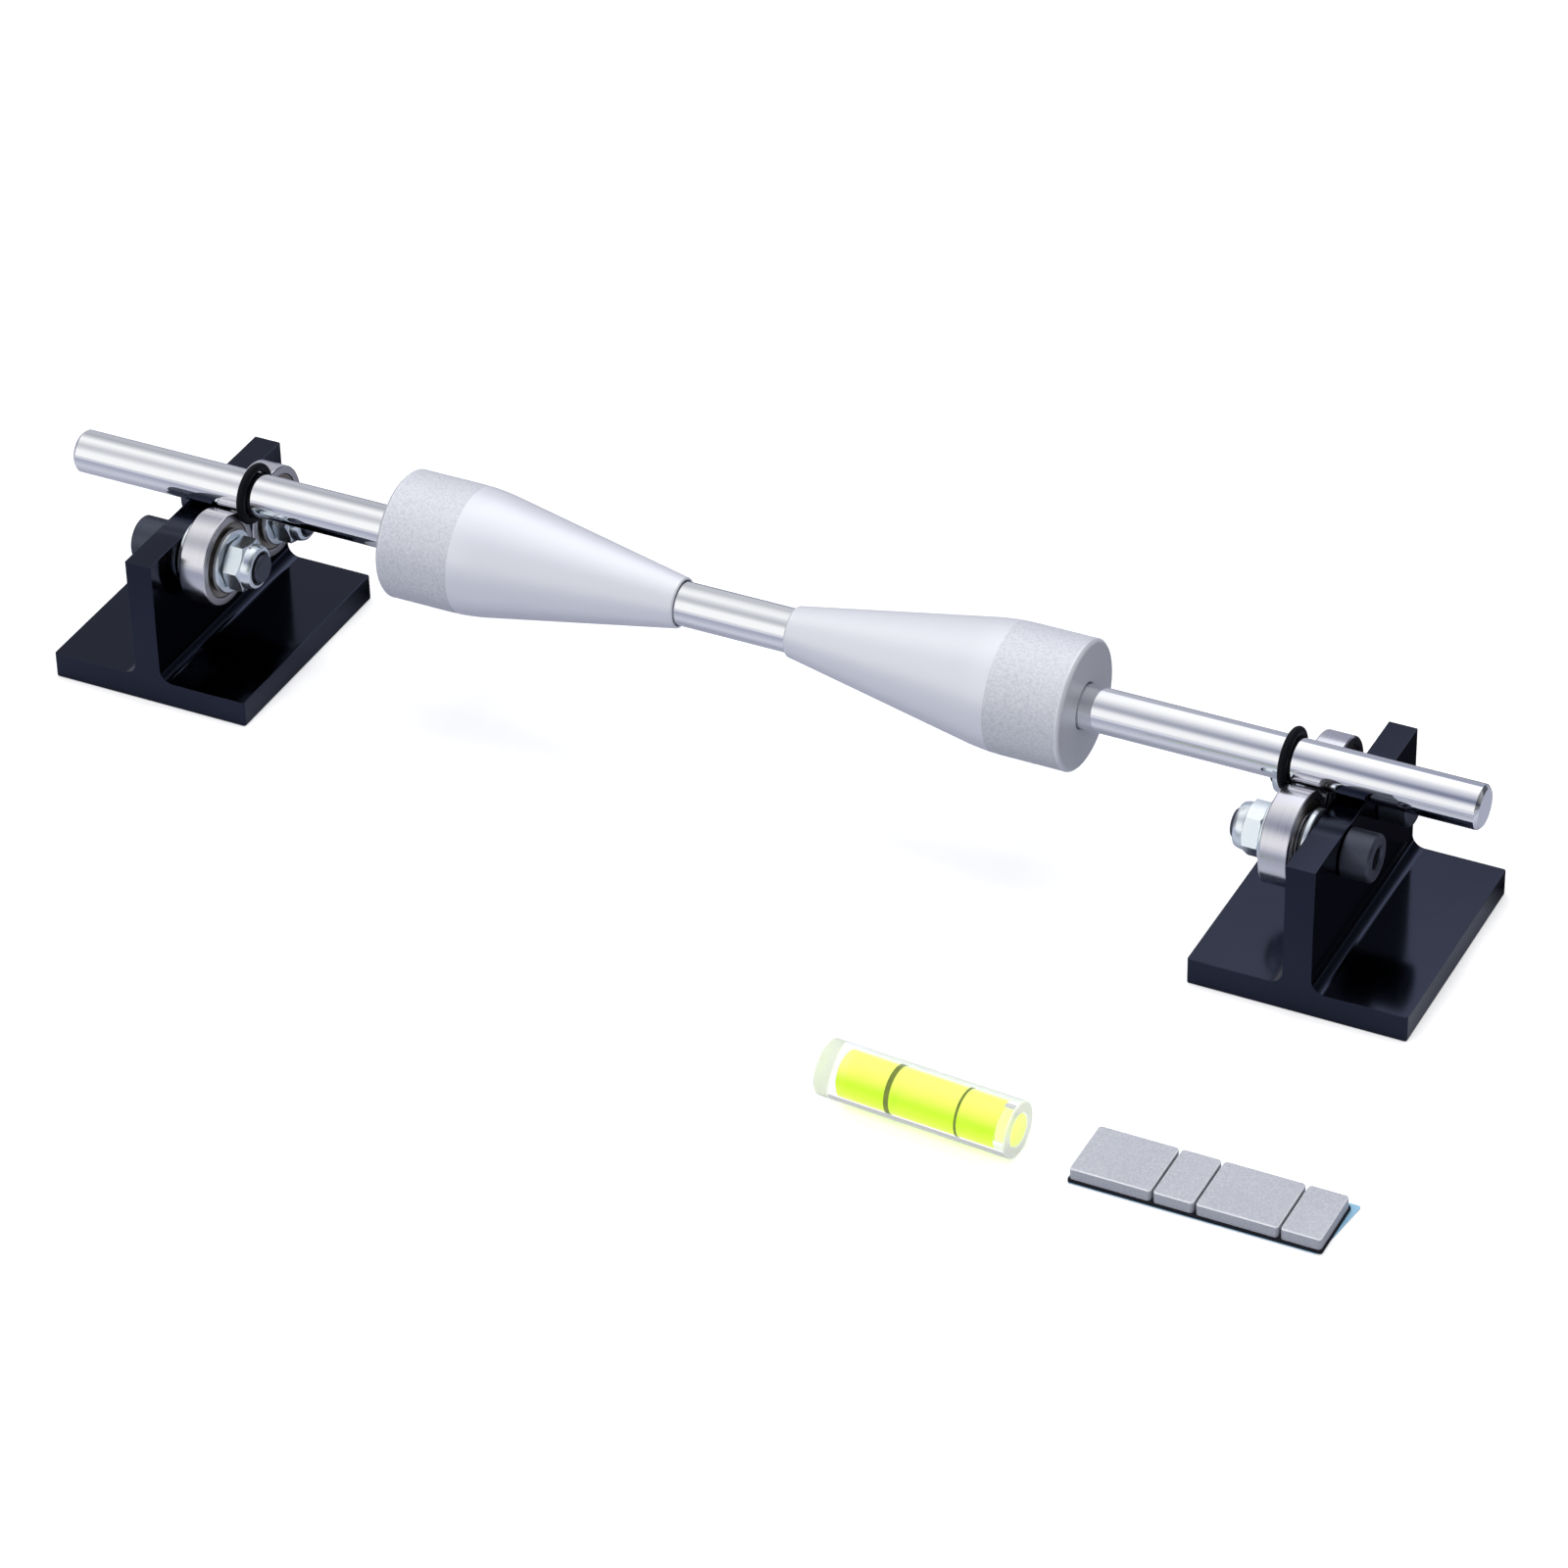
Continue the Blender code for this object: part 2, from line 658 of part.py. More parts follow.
start_clean()
parts = collection("motorcycle_wheel_balancer")
cutters = collection("cutters")
black_anodised = material("black_anodised", (0.012, 0.013, 0.018), 0.0, 0.3)
black_oxide = material("black_oxide", (0.035, 0.035, 0.045), 0.4, 0.45)
black_nylon = material("black_nylon", (0.01, 0.01, 0.01), 0.0, 0.5)
zinc = material("bright_zinc", (0.75, 0.8, 0.84), 1.0, 0.22)
bearing_steel = material("bearing_steel", (0.62, 0.6, 0.62), 1.0, 0.2)
shield_steel = material("shield_steel", (0.5, 0.46, 0.4), 1.0, 0.4)
chrome = material("chrome", (0.85, 0.85, 0.9), 1.0, 0.06)
rubber = material("rubber", (0.01, 0.01, 0.012), 0.0, 0.5)
silver = material("satin_silver", (0.68, 0.69, 0.78), 0.3, 0.4)
clear_acrylic = material("clear_acrylic", (0.9, 0.93, 0.9), 0.0, 0.08)
green_liquid = material("green_liquid", (0.62, 0.95, 0.02), 0.0, 0.1)
air = material("air", (0.95, 1.0, 0.85), 0.0, 0.1)
weight_steel = material("weight_steel", (0.5, 0.51, 0.56), 0.7, 0.45)
foam = material("foam", (0.01, 0.01, 0.012), 0.0, 0.8)
blue_film = material("blue_film", (0.3, 0.6, 0.85), 0.0, 0.4)

stand("left", 0, 1)
stand("right", stand_span, -1)
shaft_group()
vial()
weight_strip()
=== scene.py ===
# %% [markdown]
# # A motorcycle wheel balancer
# A wheel is balanced by letting it turn freely and seeing where it stops. Here a chromed shaft lies
# loose on ball bearings on short black stands, and a pair of silver cones on the shaft holds the
# wheel by its hub. A bubble vial to level the stands and a strip of stick-on weights lie in front.
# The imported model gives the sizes, the places and the moving bodies. This script makes what the eye
# sees: finer pieces in the same places, their finishes, the light and the camera.

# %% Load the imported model
import math

import bmesh
import bpy
from mathutils import Matrix, Vector, noise as random_field


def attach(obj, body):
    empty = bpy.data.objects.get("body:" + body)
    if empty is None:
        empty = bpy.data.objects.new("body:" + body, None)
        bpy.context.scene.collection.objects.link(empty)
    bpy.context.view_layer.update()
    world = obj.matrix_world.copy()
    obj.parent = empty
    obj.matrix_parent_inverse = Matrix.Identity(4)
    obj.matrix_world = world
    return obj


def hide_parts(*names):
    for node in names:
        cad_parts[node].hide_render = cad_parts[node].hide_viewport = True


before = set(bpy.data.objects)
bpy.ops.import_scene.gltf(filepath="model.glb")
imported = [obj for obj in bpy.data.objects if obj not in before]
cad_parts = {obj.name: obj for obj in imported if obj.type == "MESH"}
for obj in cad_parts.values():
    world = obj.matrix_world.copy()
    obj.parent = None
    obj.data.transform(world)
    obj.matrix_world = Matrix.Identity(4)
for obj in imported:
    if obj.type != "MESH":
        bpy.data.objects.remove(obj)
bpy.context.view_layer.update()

MM = 0.001

# %% [markdown]
# ## Camera
# A photograph tells where its camera stood: the shaft's ends, the stands' feet and the cones all have
# known places, and one camera lines all of them up. It stands about 1.5 m away, a quarter turn short
# of the side, looks down at 35 degrees, and uses a long lens, so the far stand is hardly smaller than
# the near one.

# %% Camera
view = bpy.data.cameras.new("camera")
view.sensor_width = 36
view.lens = 140.845
view.clip_end = 20
camera = bpy.data.objects.new("camera", view)
camera.location = (0.781628, -1.192748, 0.941451)
camera.rotation_euler = (0.958, 0.020, 0.456)
bpy.context.collection.objects.link(camera)
bpy.context.scene.camera = camera
bpy.context.scene.view_settings.view_transform = "Standard"

# %% [markdown]
# ## Writing a material in a few lines
# Every finish below is a small tree of shader nodes. Two helpers keep them short: one makes a
# material and hands back its Principled shader, the other adds a node, sets its values and joins
# its inputs. All patterns read Object coordinates, so they stay fixed to the piece.

# %% Material helpers
def add_node(tree, kind, values=None, links=None, **settings):
    """Adds one shader node. links names an input and the output that feeds it."""
    node = tree.nodes.new(kind)
    for key, value in settings.items():
        setattr(node, key, value)
    for key, value in (values or {}).items():
        node.inputs[key].default_value = value
    for key, output in (links or {}).items():
        tree.links.new(output, node.inputs[key])
    return node


def new_finish(name, colour, metallic=0.0, roughness=0.5, **sockets):
    """Makes a material and returns it with its tree, its shader and its Object coordinates."""
    made = bpy.data.materials.new(name)
    made.use_nodes = True
    made.diffuse_color = (*colour, 1)
    tree = made.node_tree
    shader = tree.nodes["Principled BSDF"]
    shader.inputs["Base Color"].default_value = (*colour, 1)
    shader.inputs["Metallic"].default_value = metallic
    shader.inputs["Roughness"].default_value = roughness
    for key, value in sockets.items():
        shader.inputs[key.replace("_", " ")].default_value = value
    place = add_node(tree, "ShaderNodeTexCoord").outputs["Object"]
    return made, tree, shader, place


def noise(tree, place, scale, detail=3.0, stretch=None):
    """A soft random pattern; stretch squeezes it along an axis, as brushing does."""
    if stretch:
        place = add_node(tree, "ShaderNodeMapping", {"Scale": stretch},
                         {"Vector": place}).outputs["Vector"]
    return add_node(tree, "ShaderNodeTexNoise", {"Scale": scale, "Detail": detail},
                    {"Vector": place}).outputs["Fac"]


def between(tree, value, low, high):
    """Turns a value from 0 to 1 into one from low to high."""
    return add_node(tree, "ShaderNodeMapRange", {"To Min": low, "To Max": high},
                    {"Value": value}).outputs["Result"]


def blend_colours(tree, amount, first, second):
    """Mixes two colours, each a plain colour or the output of a node."""
    mix = add_node(tree, "ShaderNodeMix", data_type="RGBA")
    tree.links.new(amount, mix.inputs["Factor"])
    for key, colour in (("A", first), ("B", second)):
        socket = [s for s in mix.inputs if s.name == key and s.type == "RGBA"][0]
        if isinstance(colour, tuple):
            socket.default_value = (*colour, 1)
        else:
            tree.links.new(colour, socket)
    return [s for s in mix.outputs if s.type == "RGBA"][0]


def add_ramp(tree, value, stops, tint=1.0):
    """Grey levels at stops from 0 to 1; a tint below 1 makes all but white a little bluer."""
    node = add_node(tree, "ShaderNodeValToRGB", links={"Fac": value})
    elements = node.color_ramp.elements
    while len(elements) < len(stops):
        elements.new(0.5)
    for element, (position, level) in zip(elements, stops):
        blue = tint if level < 1 else 2 - tint
        element.position = position
        element.color = (level, level ** (0.8 + 0.2 * blue), level ** blue, 1)
    return node.outputs["Color"]


def bump(tree, shader, height, strength, depth):
    """Lets a pattern stand out of the surface by depth, without changing its shape."""
    node = add_node(tree, "ShaderNodeBump", {"Strength": strength, "Distance": depth},
                    {"Height": height})
    tree.links.new(node.outputs["Normal"], shader.inputs["Normal"])


# %% [markdown]
# ## Black anodised stands
# The stands are sawn from one extruded aluminium T and anodised black, which leaves the metal's own
# shine under a dark blue-black film: each face mirrors its surroundings, but very dimly. So this is
# a metal with a colour close to black, which keeps the dim mirror and loses the grey haze that a
# black paint would have. Fine streaks along the extrusion, and a little unevenness of the gloss,
# keep it from looking like plastic.

# %% Black anodised finish
black_anodised, tree, shader, place = new_finish(
    "black_anodised", (0.030, 0.035, 0.056), metallic=1.0, roughness=0.12)
streaks = noise(tree, place, 900, 2.0, (1, 0.02, 1))
clouds = noise(tree, place, 60)
tree.links.new(blend_colours(tree, clouds, (0.028, 0.033, 0.053), (0.032, 0.037, 0.060)),
               shader.inputs["Base Color"])
tree.links.new(between(tree, clouds, 0.10, 0.14), shader.inputs["Roughness"])
bump(tree, shader, streaks, 0.06, 0.006 * MM)

# %% [markdown]
# ## Blackened screws and their dark sockets
# Socket head screws are blackened in hot oxide and oiled. That leaves a dark grey steel that shines
# softly and wears bright along its edges.

# %% Blackened steel finish
black_oxide, tree, shader, place = new_finish(
    "black_oxide", (0.085, 0.094, 0.125), metallic=0.85, roughness=0.36)
mottle = noise(tree, place, 700)
tree.links.new(blend_colours(tree, mottle, (0.065, 0.072, 0.098), (0.105, 0.115, 0.15)),
               shader.inputs["Base Color"])
tree.links.new(between(tree, mottle, 0.36, 0.5), shader.inputs["Roughness"])
bump(tree, shader, mottle, 0.15, 0.02 * MM)

# %% [markdown]
# ## Bright zinc
# The nuts and washers are zinc plated with a clear blue passivation. The film is so thin that it
# tints the reflections from blue to faint green, and the plating is never quite even.

# %% Bright zinc finish
bright_zinc, tree, shader, place = new_finish(
    "bright_zinc", (0.85, 0.92, 0.96), metallic=0.95, roughness=0.2)
tint = noise(tree, place, 160)
tree.links.new(blend_colours(tree, tint, (0.76, 0.88, 0.94), (0.96, 0.98, 1.0)),
               shader.inputs["Base Color"])
grain = noise(tree, place, 1500)
tree.links.new(between(tree, grain, 0.14, 0.28), shader.inputs["Roughness"])
bump(tree, shader, grain, 0.1, 0.02 * MM)

# %% [markdown]
# ## Bearing steel
# The rings are ground: the grinding leaves hair-fine lines round the ring, which stretch each
# reflection into a soft band. The lines run round the shaft's direction, so the pattern is squeezed
# along X only. The shields are pressed from thin tinplate and look browner and duller.

# %% Bearing steel and shield finishes
bearing_steel, tree, shader, place = new_finish(
    "bearing_steel", (0.74, 0.73, 0.78), metallic=1.0, roughness=0.2)
lines = noise(tree, place, 60, 2.0, (90, 1, 1))
tree.links.new(blend_colours(tree, lines, (0.66, 0.65, 0.70), (0.84, 0.83, 0.87)),
               shader.inputs["Base Color"])
tree.links.new(between(tree, lines, 0.15, 0.25), shader.inputs["Roughness"])
bump(tree, shader, lines, 0.12, 0.01 * MM)

# Painted shade: the flat sides of the outer ring take a darker, duller copy of the bearing steel.
ring_side_painted_shade, tree, shader, place = new_finish(
    "ring_side_painted_shade", (0.52, 0.50, 0.50), metallic=1.0, roughness=0.3)
ring_side_patches = noise(tree, place, 300)
tree.links.new(blend_colours(tree, ring_side_patches, (0.44, 0.42, 0.41), (0.60, 0.58, 0.60)),
               shader.inputs["Base Color"])

shield_steel, tree, shader, place = new_finish(
    "shield_steel", (0.42, 0.37, 0.31), metallic=1.0, roughness=0.36)
patches = noise(tree, place, 400)
tree.links.new(blend_colours(tree, patches, (0.38, 0.33, 0.27), (0.48, 0.44, 0.38)),
               shader.inputs["Base Color"])
tree.links.new(between(tree, patches, 0.3, 0.42), shader.inputs["Roughness"])

# %% [markdown]
# ## Chrome
# The shaft is ground round and chromed. Chrome is a mirror, so its look is the studio's look: long
# soft lamps show as white bands and the gaps between them as grey lines. All the material adds is a
# cool tint, a trace of haze and the faintest grinding marks.

# %% Chrome finish
chrome, tree, shader, place = new_finish(
    "chrome", (0.93, 0.935, 0.955), metallic=1.0, roughness=0.06)
haze = noise(tree, place, 120)
tree.links.new(between(tree, haze, 0.03, 0.06), shader.inputs["Roughness"])
marks = noise(tree, place, 40, 2.0, (60, 1, 1))
bump(tree, shader, marks, 0.04, 0.002 * MM)

# %% [markdown]
# ## Satin silver and its grained band
# The cones are turned aluminium with a fine satin skin, blasted and anodised silver, faintly
# lavender in this light. The grip band at the large end is coarser: a pebbled surface with grains
# about a millimetre wide. Voronoi cells give the pebbles, a little noise bends their borders, and
# the hollows between them are darker, as dirt and shadow gather there.

# %% Satin silver finishes
satin_silver, tree, shader, place = new_finish(
    "satin_silver", (0.88, 0.89, 0.945), metallic=0.5, roughness=0.45)
skin = noise(tree, place, 2600, 2.0)
broad = noise(tree, place, 25)
tree.links.new(blend_colours(tree, broad, (0.87, 0.88, 0.935), (0.90, 0.91, 0.965)),
               shader.inputs["Base Color"])
tree.links.new(between(tree, skin, 0.42, 0.5), shader.inputs["Roughness"])
bump(tree, shader, skin, 0.08, 0.02 * MM)

grained_silver, tree, shader, place = new_finish(
    "grained_silver", (0.68, 0.70, 0.76), metallic=0.25, roughness=0.5)
wander = add_node(tree, "ShaderNodeTexNoise", {"Scale": 1400.0, "Detail": 1.0},
                  {"Vector": place}).outputs["Color"]
shift = add_node(tree, "ShaderNodeVectorMath", {1: (0.0004, 0.0004, 0.0004)}, {0: wander},
                 operation="MULTIPLY").outputs["Vector"]
bent = add_node(tree, "ShaderNodeVectorMath", links={0: place, 1: shift},
                operation="ADD").outputs["Vector"]
pebbles = add_node(tree, "ShaderNodeTexVoronoi", {"Scale": 1500.0, "Smoothness": 0.6},
                   {"Vector": bent}, feature="SMOOTH_F1").outputs["Distance"]
hollows = add_node(tree, "ShaderNodeMapRange", {"From Min": 0.2, "From Max": 0.75},
                   {"Value": pebbles}).outputs["Result"]
tree.links.new(blend_colours(tree, hollows, (0.77, 0.785, 0.84), (0.65, 0.665, 0.72)),
               shader.inputs["Base Color"])
rise = add_node(tree, "ShaderNodeMath", {0: 1.0}, {1: hollows}, operation="SUBTRACT").outputs["Value"]
bump(tree, shader, rise, 0.35, 0.06 * MM)

# %% [markdown]
# ## Rubber, nylon, foam
# All of them are black, and their gloss tells them apart: the rubber rings have a soft dusty
# sheen, the nylon in the nuts is smoother, and the foam tape under the weights is dull and porous.

# %% Rubber, nylon and foam finishes
rubber, tree, shader, place = new_finish(
    "rubber", (0.004, 0.004, 0.006), roughness=0.5, Specular_IOR_Level=0.12)
dust = noise(tree, place, 500)
tree.links.new(blend_colours(tree, dust, (0.002, 0.003, 0.005), (0.006, 0.006, 0.009)),
               shader.inputs["Base Color"])
bump(tree, shader, dust, 0.2, 0.04 * MM)

black_nylon, tree, shader, place = new_finish("black_nylon", (0.012, 0.012, 0.014), roughness=0.4)
ripple = noise(tree, place, 900)
tree.links.new(between(tree, ripple, 0.34, 0.5), shader.inputs["Roughness"])
bump(tree, shader, ripple, 0.15, 0.03 * MM)

foam, tree, shader, place = new_finish(
    "foam", (0.010, 0.011, 0.016), roughness=0.8, Specular_IOR_Level=0.2)
pores = add_node(tree, "ShaderNodeTexVoronoi", {"Scale": 3500.0}, {"Vector": place}).outputs["Distance"]
tree.links.new(blend_colours(tree, pores, (0.006, 0.006, 0.010), (0.022, 0.024, 0.032)),
               shader.inputs["Base Color"])
bump(tree, shader, pores, 0.5, 0.08 * MM)

# %% [markdown]
# ## Coated weights and the blue film
# The stick-on weights are cast or stamped steel with a grey, finely sprayed coat. The film under
# the tape is a thin blue plastic that is pulled off before use.

# %% Weight and film finishes
weight_steel, tree, shader, place = new_finish(
    "weight_steel", (0.56, 0.575, 0.635), metallic=0.3, roughness=0.45)
spray = noise(tree, place, 2200, 2.0)
stain = noise(tree, place, 110)
body_colour = blend_colours(tree, stain, (0.46, 0.475, 0.525), (0.54, 0.555, 0.61))
speckle = add_node(tree, "ShaderNodeMapRange", {"From Min": 0.35, "From Max": 0.75},
                   {"Value": spray}).outputs["Result"]
tree.links.new(blend_colours(tree, speckle, body_colour, (0.66, 0.67, 0.72)),
               shader.inputs["Base Color"])
tree.links.new(between(tree, spray, 0.38, 0.55), shader.inputs["Roughness"])
bump(tree, shader, spray, 0.35, 0.06 * MM)

# Painted highlight: a much lighter finish on the weights' rounded rims stands in for the bright line of
# light they catch.
rim_highlight_paint, tree, shader, place = new_finish(
    "rim_highlight_paint", (0.90, 0.91, 0.95), metallic=0.2, roughness=0.4)
rim_highlight_patches = noise(tree, place, 900)
tree.links.new(blend_colours(tree, rim_highlight_patches, (0.82, 0.83, 0.88), (0.98, 0.98, 1.0)),
               shader.inputs["Base Color"])

blue_film, tree, shader, place = new_finish("blue_film", (0.30, 0.58, 0.80), roughness=0.3)
crease = noise(tree, place, 150)
tree.links.new(blend_colours(tree, crease, (0.26, 0.54, 0.77), (0.38, 0.66, 0.86)),
               shader.inputs["Base Color"])
bump(tree, shader, crease, 0.2, 0.1 * MM)

# %% [markdown]
# ## The vial: clear plastic and a glowing liquid
# The liquid in a level is dyed with a fluorescent dye, which turns invisible light into yellow
# green, so it is brighter than any plain paint. A little emission of its own colour stands in for
# that: a painted glow. Its colour is also painted paler towards the top and the bottom, a painted
# highlight. The clear plastic is real glass to the renderer: light bends in it, which widens the
# marks and draws the grey line along its upper edge.

# %% Vial finishes
clear_acrylic, tree, shader, place = new_finish(
    "clear_acrylic", (0.90, 0.915, 0.89), roughness=0.03, IOR=1.33, Transmission_Weight=1.0)
wave = noise(tree, place, 120)
tree.links.new(between(tree, wave, 0.0, 0.07), shader.inputs["Roughness"])
bump(tree, shader, wave, 0.1, 0.03 * MM)

green_liquid, tree, shader, place = new_finish(
    "green_liquid", (0.70, 0.95, 0.02), roughness=0.05, IOR=1.33, Transmission_Weight=0.4,
    Emission_Strength=0.4)
swirl = noise(tree, place, 300)
level = add_node(tree, "ShaderNodeSeparateXYZ", links={"Vector": place}).outputs["Z"]
# Painted highlight: by height alone, the colour turns pale yellow at the top and paler green at the
# bottom; the painted glow takes the same colour.
top_highlight_share = add_node(tree, "ShaderNodeMapRange",
                  {"From Min": 8.8 * MM, "From Max": 12.2 * MM}, {"Value": level}).outputs["Result"]
low_highlight_share = add_node(tree, "ShaderNodeMapRange",
                {"From Min": 8.2 * MM, "From Max": 4.2 * MM}, {"Value": level}).outputs["Result"]
glow = blend_colours(tree, top_highlight_share, (0.48, 0.82, 0.0), (1.0, 1.0, 0.24))
glow = blend_colours(tree, low_highlight_share, glow, (0.75, 1.0, 0.06))
glow = blend_colours(tree, between(tree, swirl, 0.0, 0.2), glow, (0.85, 1.0, 0.08))
tree.links.new(glow, shader.inputs["Base Color"])
tree.links.new(glow, shader.inputs["Emission Color"])

# Painted glow: the plug has a yellow-green emission of its own, though it is no lamp.
plug_plastic_painted_glow, tree, shader, place = new_finish(
    "plug_plastic_painted_glow", (0.92, 1.0, 0.40), roughness=0.3, IOR=1.33, Transmission_Weight=0.6,
    Emission_Color=(0.75, 1.0, 0.15, 1.0), Emission_Strength=0.3)
ripple = noise(tree, place, 160)
tree.links.new(between(tree, ripple, 0.2, 0.4), shader.inputs["Roughness"])

# Painted glow: the cut ends of the tube have a pale yellow emission, standing in for light from the
# liquid that comes out there.
cut_acrylic_painted_glow, tree, shader, place = new_finish(
    "cut_acrylic_painted_glow", (0.93, 0.95, 0.86), roughness=0.6, IOR=1.33, Transmission_Weight=0.4,
    Emission_Color=(0.95, 1.0, 0.75, 1.0), Emission_Strength=0.16)
saw_marks = noise(tree, place, 900)
tree.links.new(blend_colours(tree, saw_marks, (0.88, 0.90, 0.80), (0.97, 0.98, 0.91)),
               shader.inputs["Base Color"])

air, tree, shader, place = new_finish(
    "air", (0.98, 1.0, 0.86), roughness=0.02, IOR=1.05, Transmission_Weight=1.0)
sheen = noise(tree, place, 200)
tree.links.new(between(tree, sheen, 0.0, 0.05), shader.inputs["Roughness"])

mark_paint, tree, shader, place = new_finish("mark_paint", (0.20, 0.25, 0.015), roughness=0.4)
fade = noise(tree, place, 800)
tree.links.new(blend_colours(tree, fade, (0.14, 0.18, 0.01), (0.30, 0.38, 0.02)),
               shader.inputs["Base Color"])

# %% [markdown]
# ## Three helpers for the shapes
# Most pieces here are turned on a lathe, so one helper does the same: it takes half a section,
# rounds its corners, and spins it once round. Each point of a section is its radius, its place
# along the axis and how much its corner is rounded. Another helper moves a made shape into place
# along the shaft, and the last one turns it into a piece that rides on its body.

# %% Shape helpers
def lathe(section, steps=96):
    """Spins half a section round Z; a section that touches the axis gives a solid piece."""
    shape = bmesh.new()
    points = [shape.verts.new((radius * MM, 0, along * MM)) for radius, along, _ in section]
    shape.faces.new(points)
    rounding = {}
    for point, (_, _, amount) in zip(points, section):
        if amount:
            rounding.setdefault(amount, []).append(point)
    for amount, corners in rounding.items():
        bmesh.ops.bevel(shape, geom=corners, offset=amount * MM, segments=12 if amount > 2 else 3,
                        profile=0.5, affect="VERTICES", material=-1)
    bmesh.ops.delete(shape, geom=list(shape.faces), context="FACES_ONLY")
    on_axis = [edge for edge in shape.edges if all(abs(v.co.x) < 1e-9 for v in edge.verts)]
    bmesh.ops.delete(shape, geom=on_axis, context="EDGES")
    bmesh.ops.spin(shape, geom=list(shape.verts) + list(shape.edges), cent=(0, 0, 0),
                   axis=(0, 0, 1), angle=2 * math.pi, steps=steps, use_merge=True)
    bmesh.ops.remove_doubles(shape, verts=shape.verts, dist=1e-7)
    bmesh.ops.recalc_face_normals(shape, faces=shape.faces)
    return shape


def along_shaft(x, y, z, facing=1):
    """The place of a lathe's axis when it points along +X (facing 1) or -X (facing -1)."""
    return Matrix.Translation((x * MM, y * MM, z * MM)) @ Matrix.Rotation(facing * math.pi / 2, 4, "Y")


def add_piece(name, shape, finish, body, nodes=(), where=None, sharp=32):
    """Makes a piece of a bmesh: in its place, smooth up to its edges, riding on a body."""
    if where is not None:
        bmesh.ops.transform(shape, matrix=where, verts=shape.verts)
    mesh = bpy.data.meshes.new(name)
    shape.to_mesh(mesh)
    shape.free()
    mesh.shade_smooth()
    mesh.set_sharp_from_angle(angle=math.radians(sharp))
    for each in finish if isinstance(finish, (list, tuple)) else [finish]:
        mesh.materials.append(each)
    made = bpy.data.objects.new(name, mesh)
    bpy.context.collection.objects.link(made)
    flatten = made.modifiers.new("flatten", "WEIGHTED_NORMAL")
    flatten.keep_sharp = True
    flatten.weight = 100
    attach(made, body)
    if nodes:
        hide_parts(*nodes)
    return made


# %% [markdown]
# ## The stands
# Each stand starts as the outline of a T, drawn as one face and pulled out to its depth. Then the
# edges get what a real one has: a fillet where the web meets the base, four rounded upright corners,
# and a narrow broken edge everywhere else. That last one matters most, because no real edge is
# perfectly sharp, and the thin line of light along it is what makes metal look like metal.

# %% Stand sizes
stand_span = 336.8
base_width, base_depth, base_thickness = 60.0, 70.0, 7.5
web_thickness, web_top = 8.0, 44.386
web_fillet, corner_radius, broken_edge = 3.5, 0.8, 0.25


# %% Stands
def bevel_edges(shape, chosen, amount, segments):
    edges = [edge for edge in shape.edges if chosen(edge)]
    bmesh.ops.bevel(shape, geom=edges, offset=amount * MM, segments=segments, profile=0.5,
                    affect="EDGES", clamp_overlap=True, material=-1)


def stand_shape():
    half_base, half_web, half_depth = base_width / 2, web_thickness / 2, base_depth / 2
    corners = [(half_base, 0), (half_base, base_thickness), (half_web, base_thickness),
               (half_web, web_top), (-half_web, web_top), (-half_web, base_thickness),
               (-half_base, base_thickness), (-half_base, 0)]
    shape = bmesh.new()
    front = shape.faces.new([shape.verts.new((x * MM, -half_depth * MM, z * MM)) for x, z in corners])
    pulled = bmesh.ops.extrude_face_region(shape, geom=[front])["geom"]
    bmesh.ops.translate(shape, vec=(0, base_depth * MM, 0),
                        verts=[part for part in pulled if isinstance(part, bmesh.types.BMVert)])
    bmesh.ops.recalc_face_normals(shape, faces=shape.faces)

    def inner(edge):
        return all(abs(abs(v.co.x) - half_web * MM) < 1e-6 and abs(v.co.z - base_thickness * MM) < 1e-6
                   for v in edge.verts)

    def upright(edge):
        return all(abs(abs(v.co.x) - half_base * MM) < 1e-6 for v in edge.verts) and \
            abs(edge.verts[0].co.z - edge.verts[1].co.z) > 5 * MM

    bevel_edges(shape, inner, web_fillet, 8)
    bevel_edges(shape, upright, corner_radius, 6)
    bevel_edges(shape, lambda edge: edge.calc_face_angle(0) > math.radians(50), broken_edge, 2)
    return shape


for side, x in (("left", 0.0), ("right", stand_span)):
    add_piece(f"{side}_stand_bracket", stand_shape(), black_anodised, f"{side}_stand",
              [f"{side}_bracket"], where=Matrix.Translation((x * MM, 0, 0)))

# %% [markdown]
# ## Six-sided shapes from a lathe
# A nut is turned first and its flats are cut after. The same works in a mesh: the nut is spun as a
# round piece, and then its outer wall is moved onto a hexagon. Where the wall reaches further out,
# its rim drops along a slant of 30 degrees, and that draws the curved chamfer that every real nut
# has. The socket of a screw is the same trick turned inwards.

# %% Hexagon helper
def make_hexagon(shape, radius, low, high, slant=0.0):
    """Moves the wall of the given radius onto a hexagon whose flats touch that radius."""
    for vert in shape.verts:
        if abs(math.hypot(vert.co.x, vert.co.y) - radius * MM) > 0.01 * MM:
            continue
        if not (low - 0.01) * MM < vert.co.z < (high + 0.01) * MM:
            continue
        angle = math.atan2(vert.co.y, vert.co.x) % (math.pi / 3) - math.pi / 6
        reach = radius / math.cos(angle)
        nearer = low if vert.co.z < (low + high) / 2 * MM else high
        inwards = 1 if nearer == low else -1
        vert.co.z += inwards * (reach - radius) * slant * MM
        vert.co.x *= reach / radius
        vert.co.y *= reach / radius


# %% [markdown]
# ## The bearings on their screws
# Along each screw, from the outer side of the web: the head, the web, a flanged bush that holds the
# bearing off the web, the bearing, a washer and a lock nut with a black nylon ring. All of them share
# one axis, so each is spun round Z first, and one matrix lays the whole stack along the shaft.

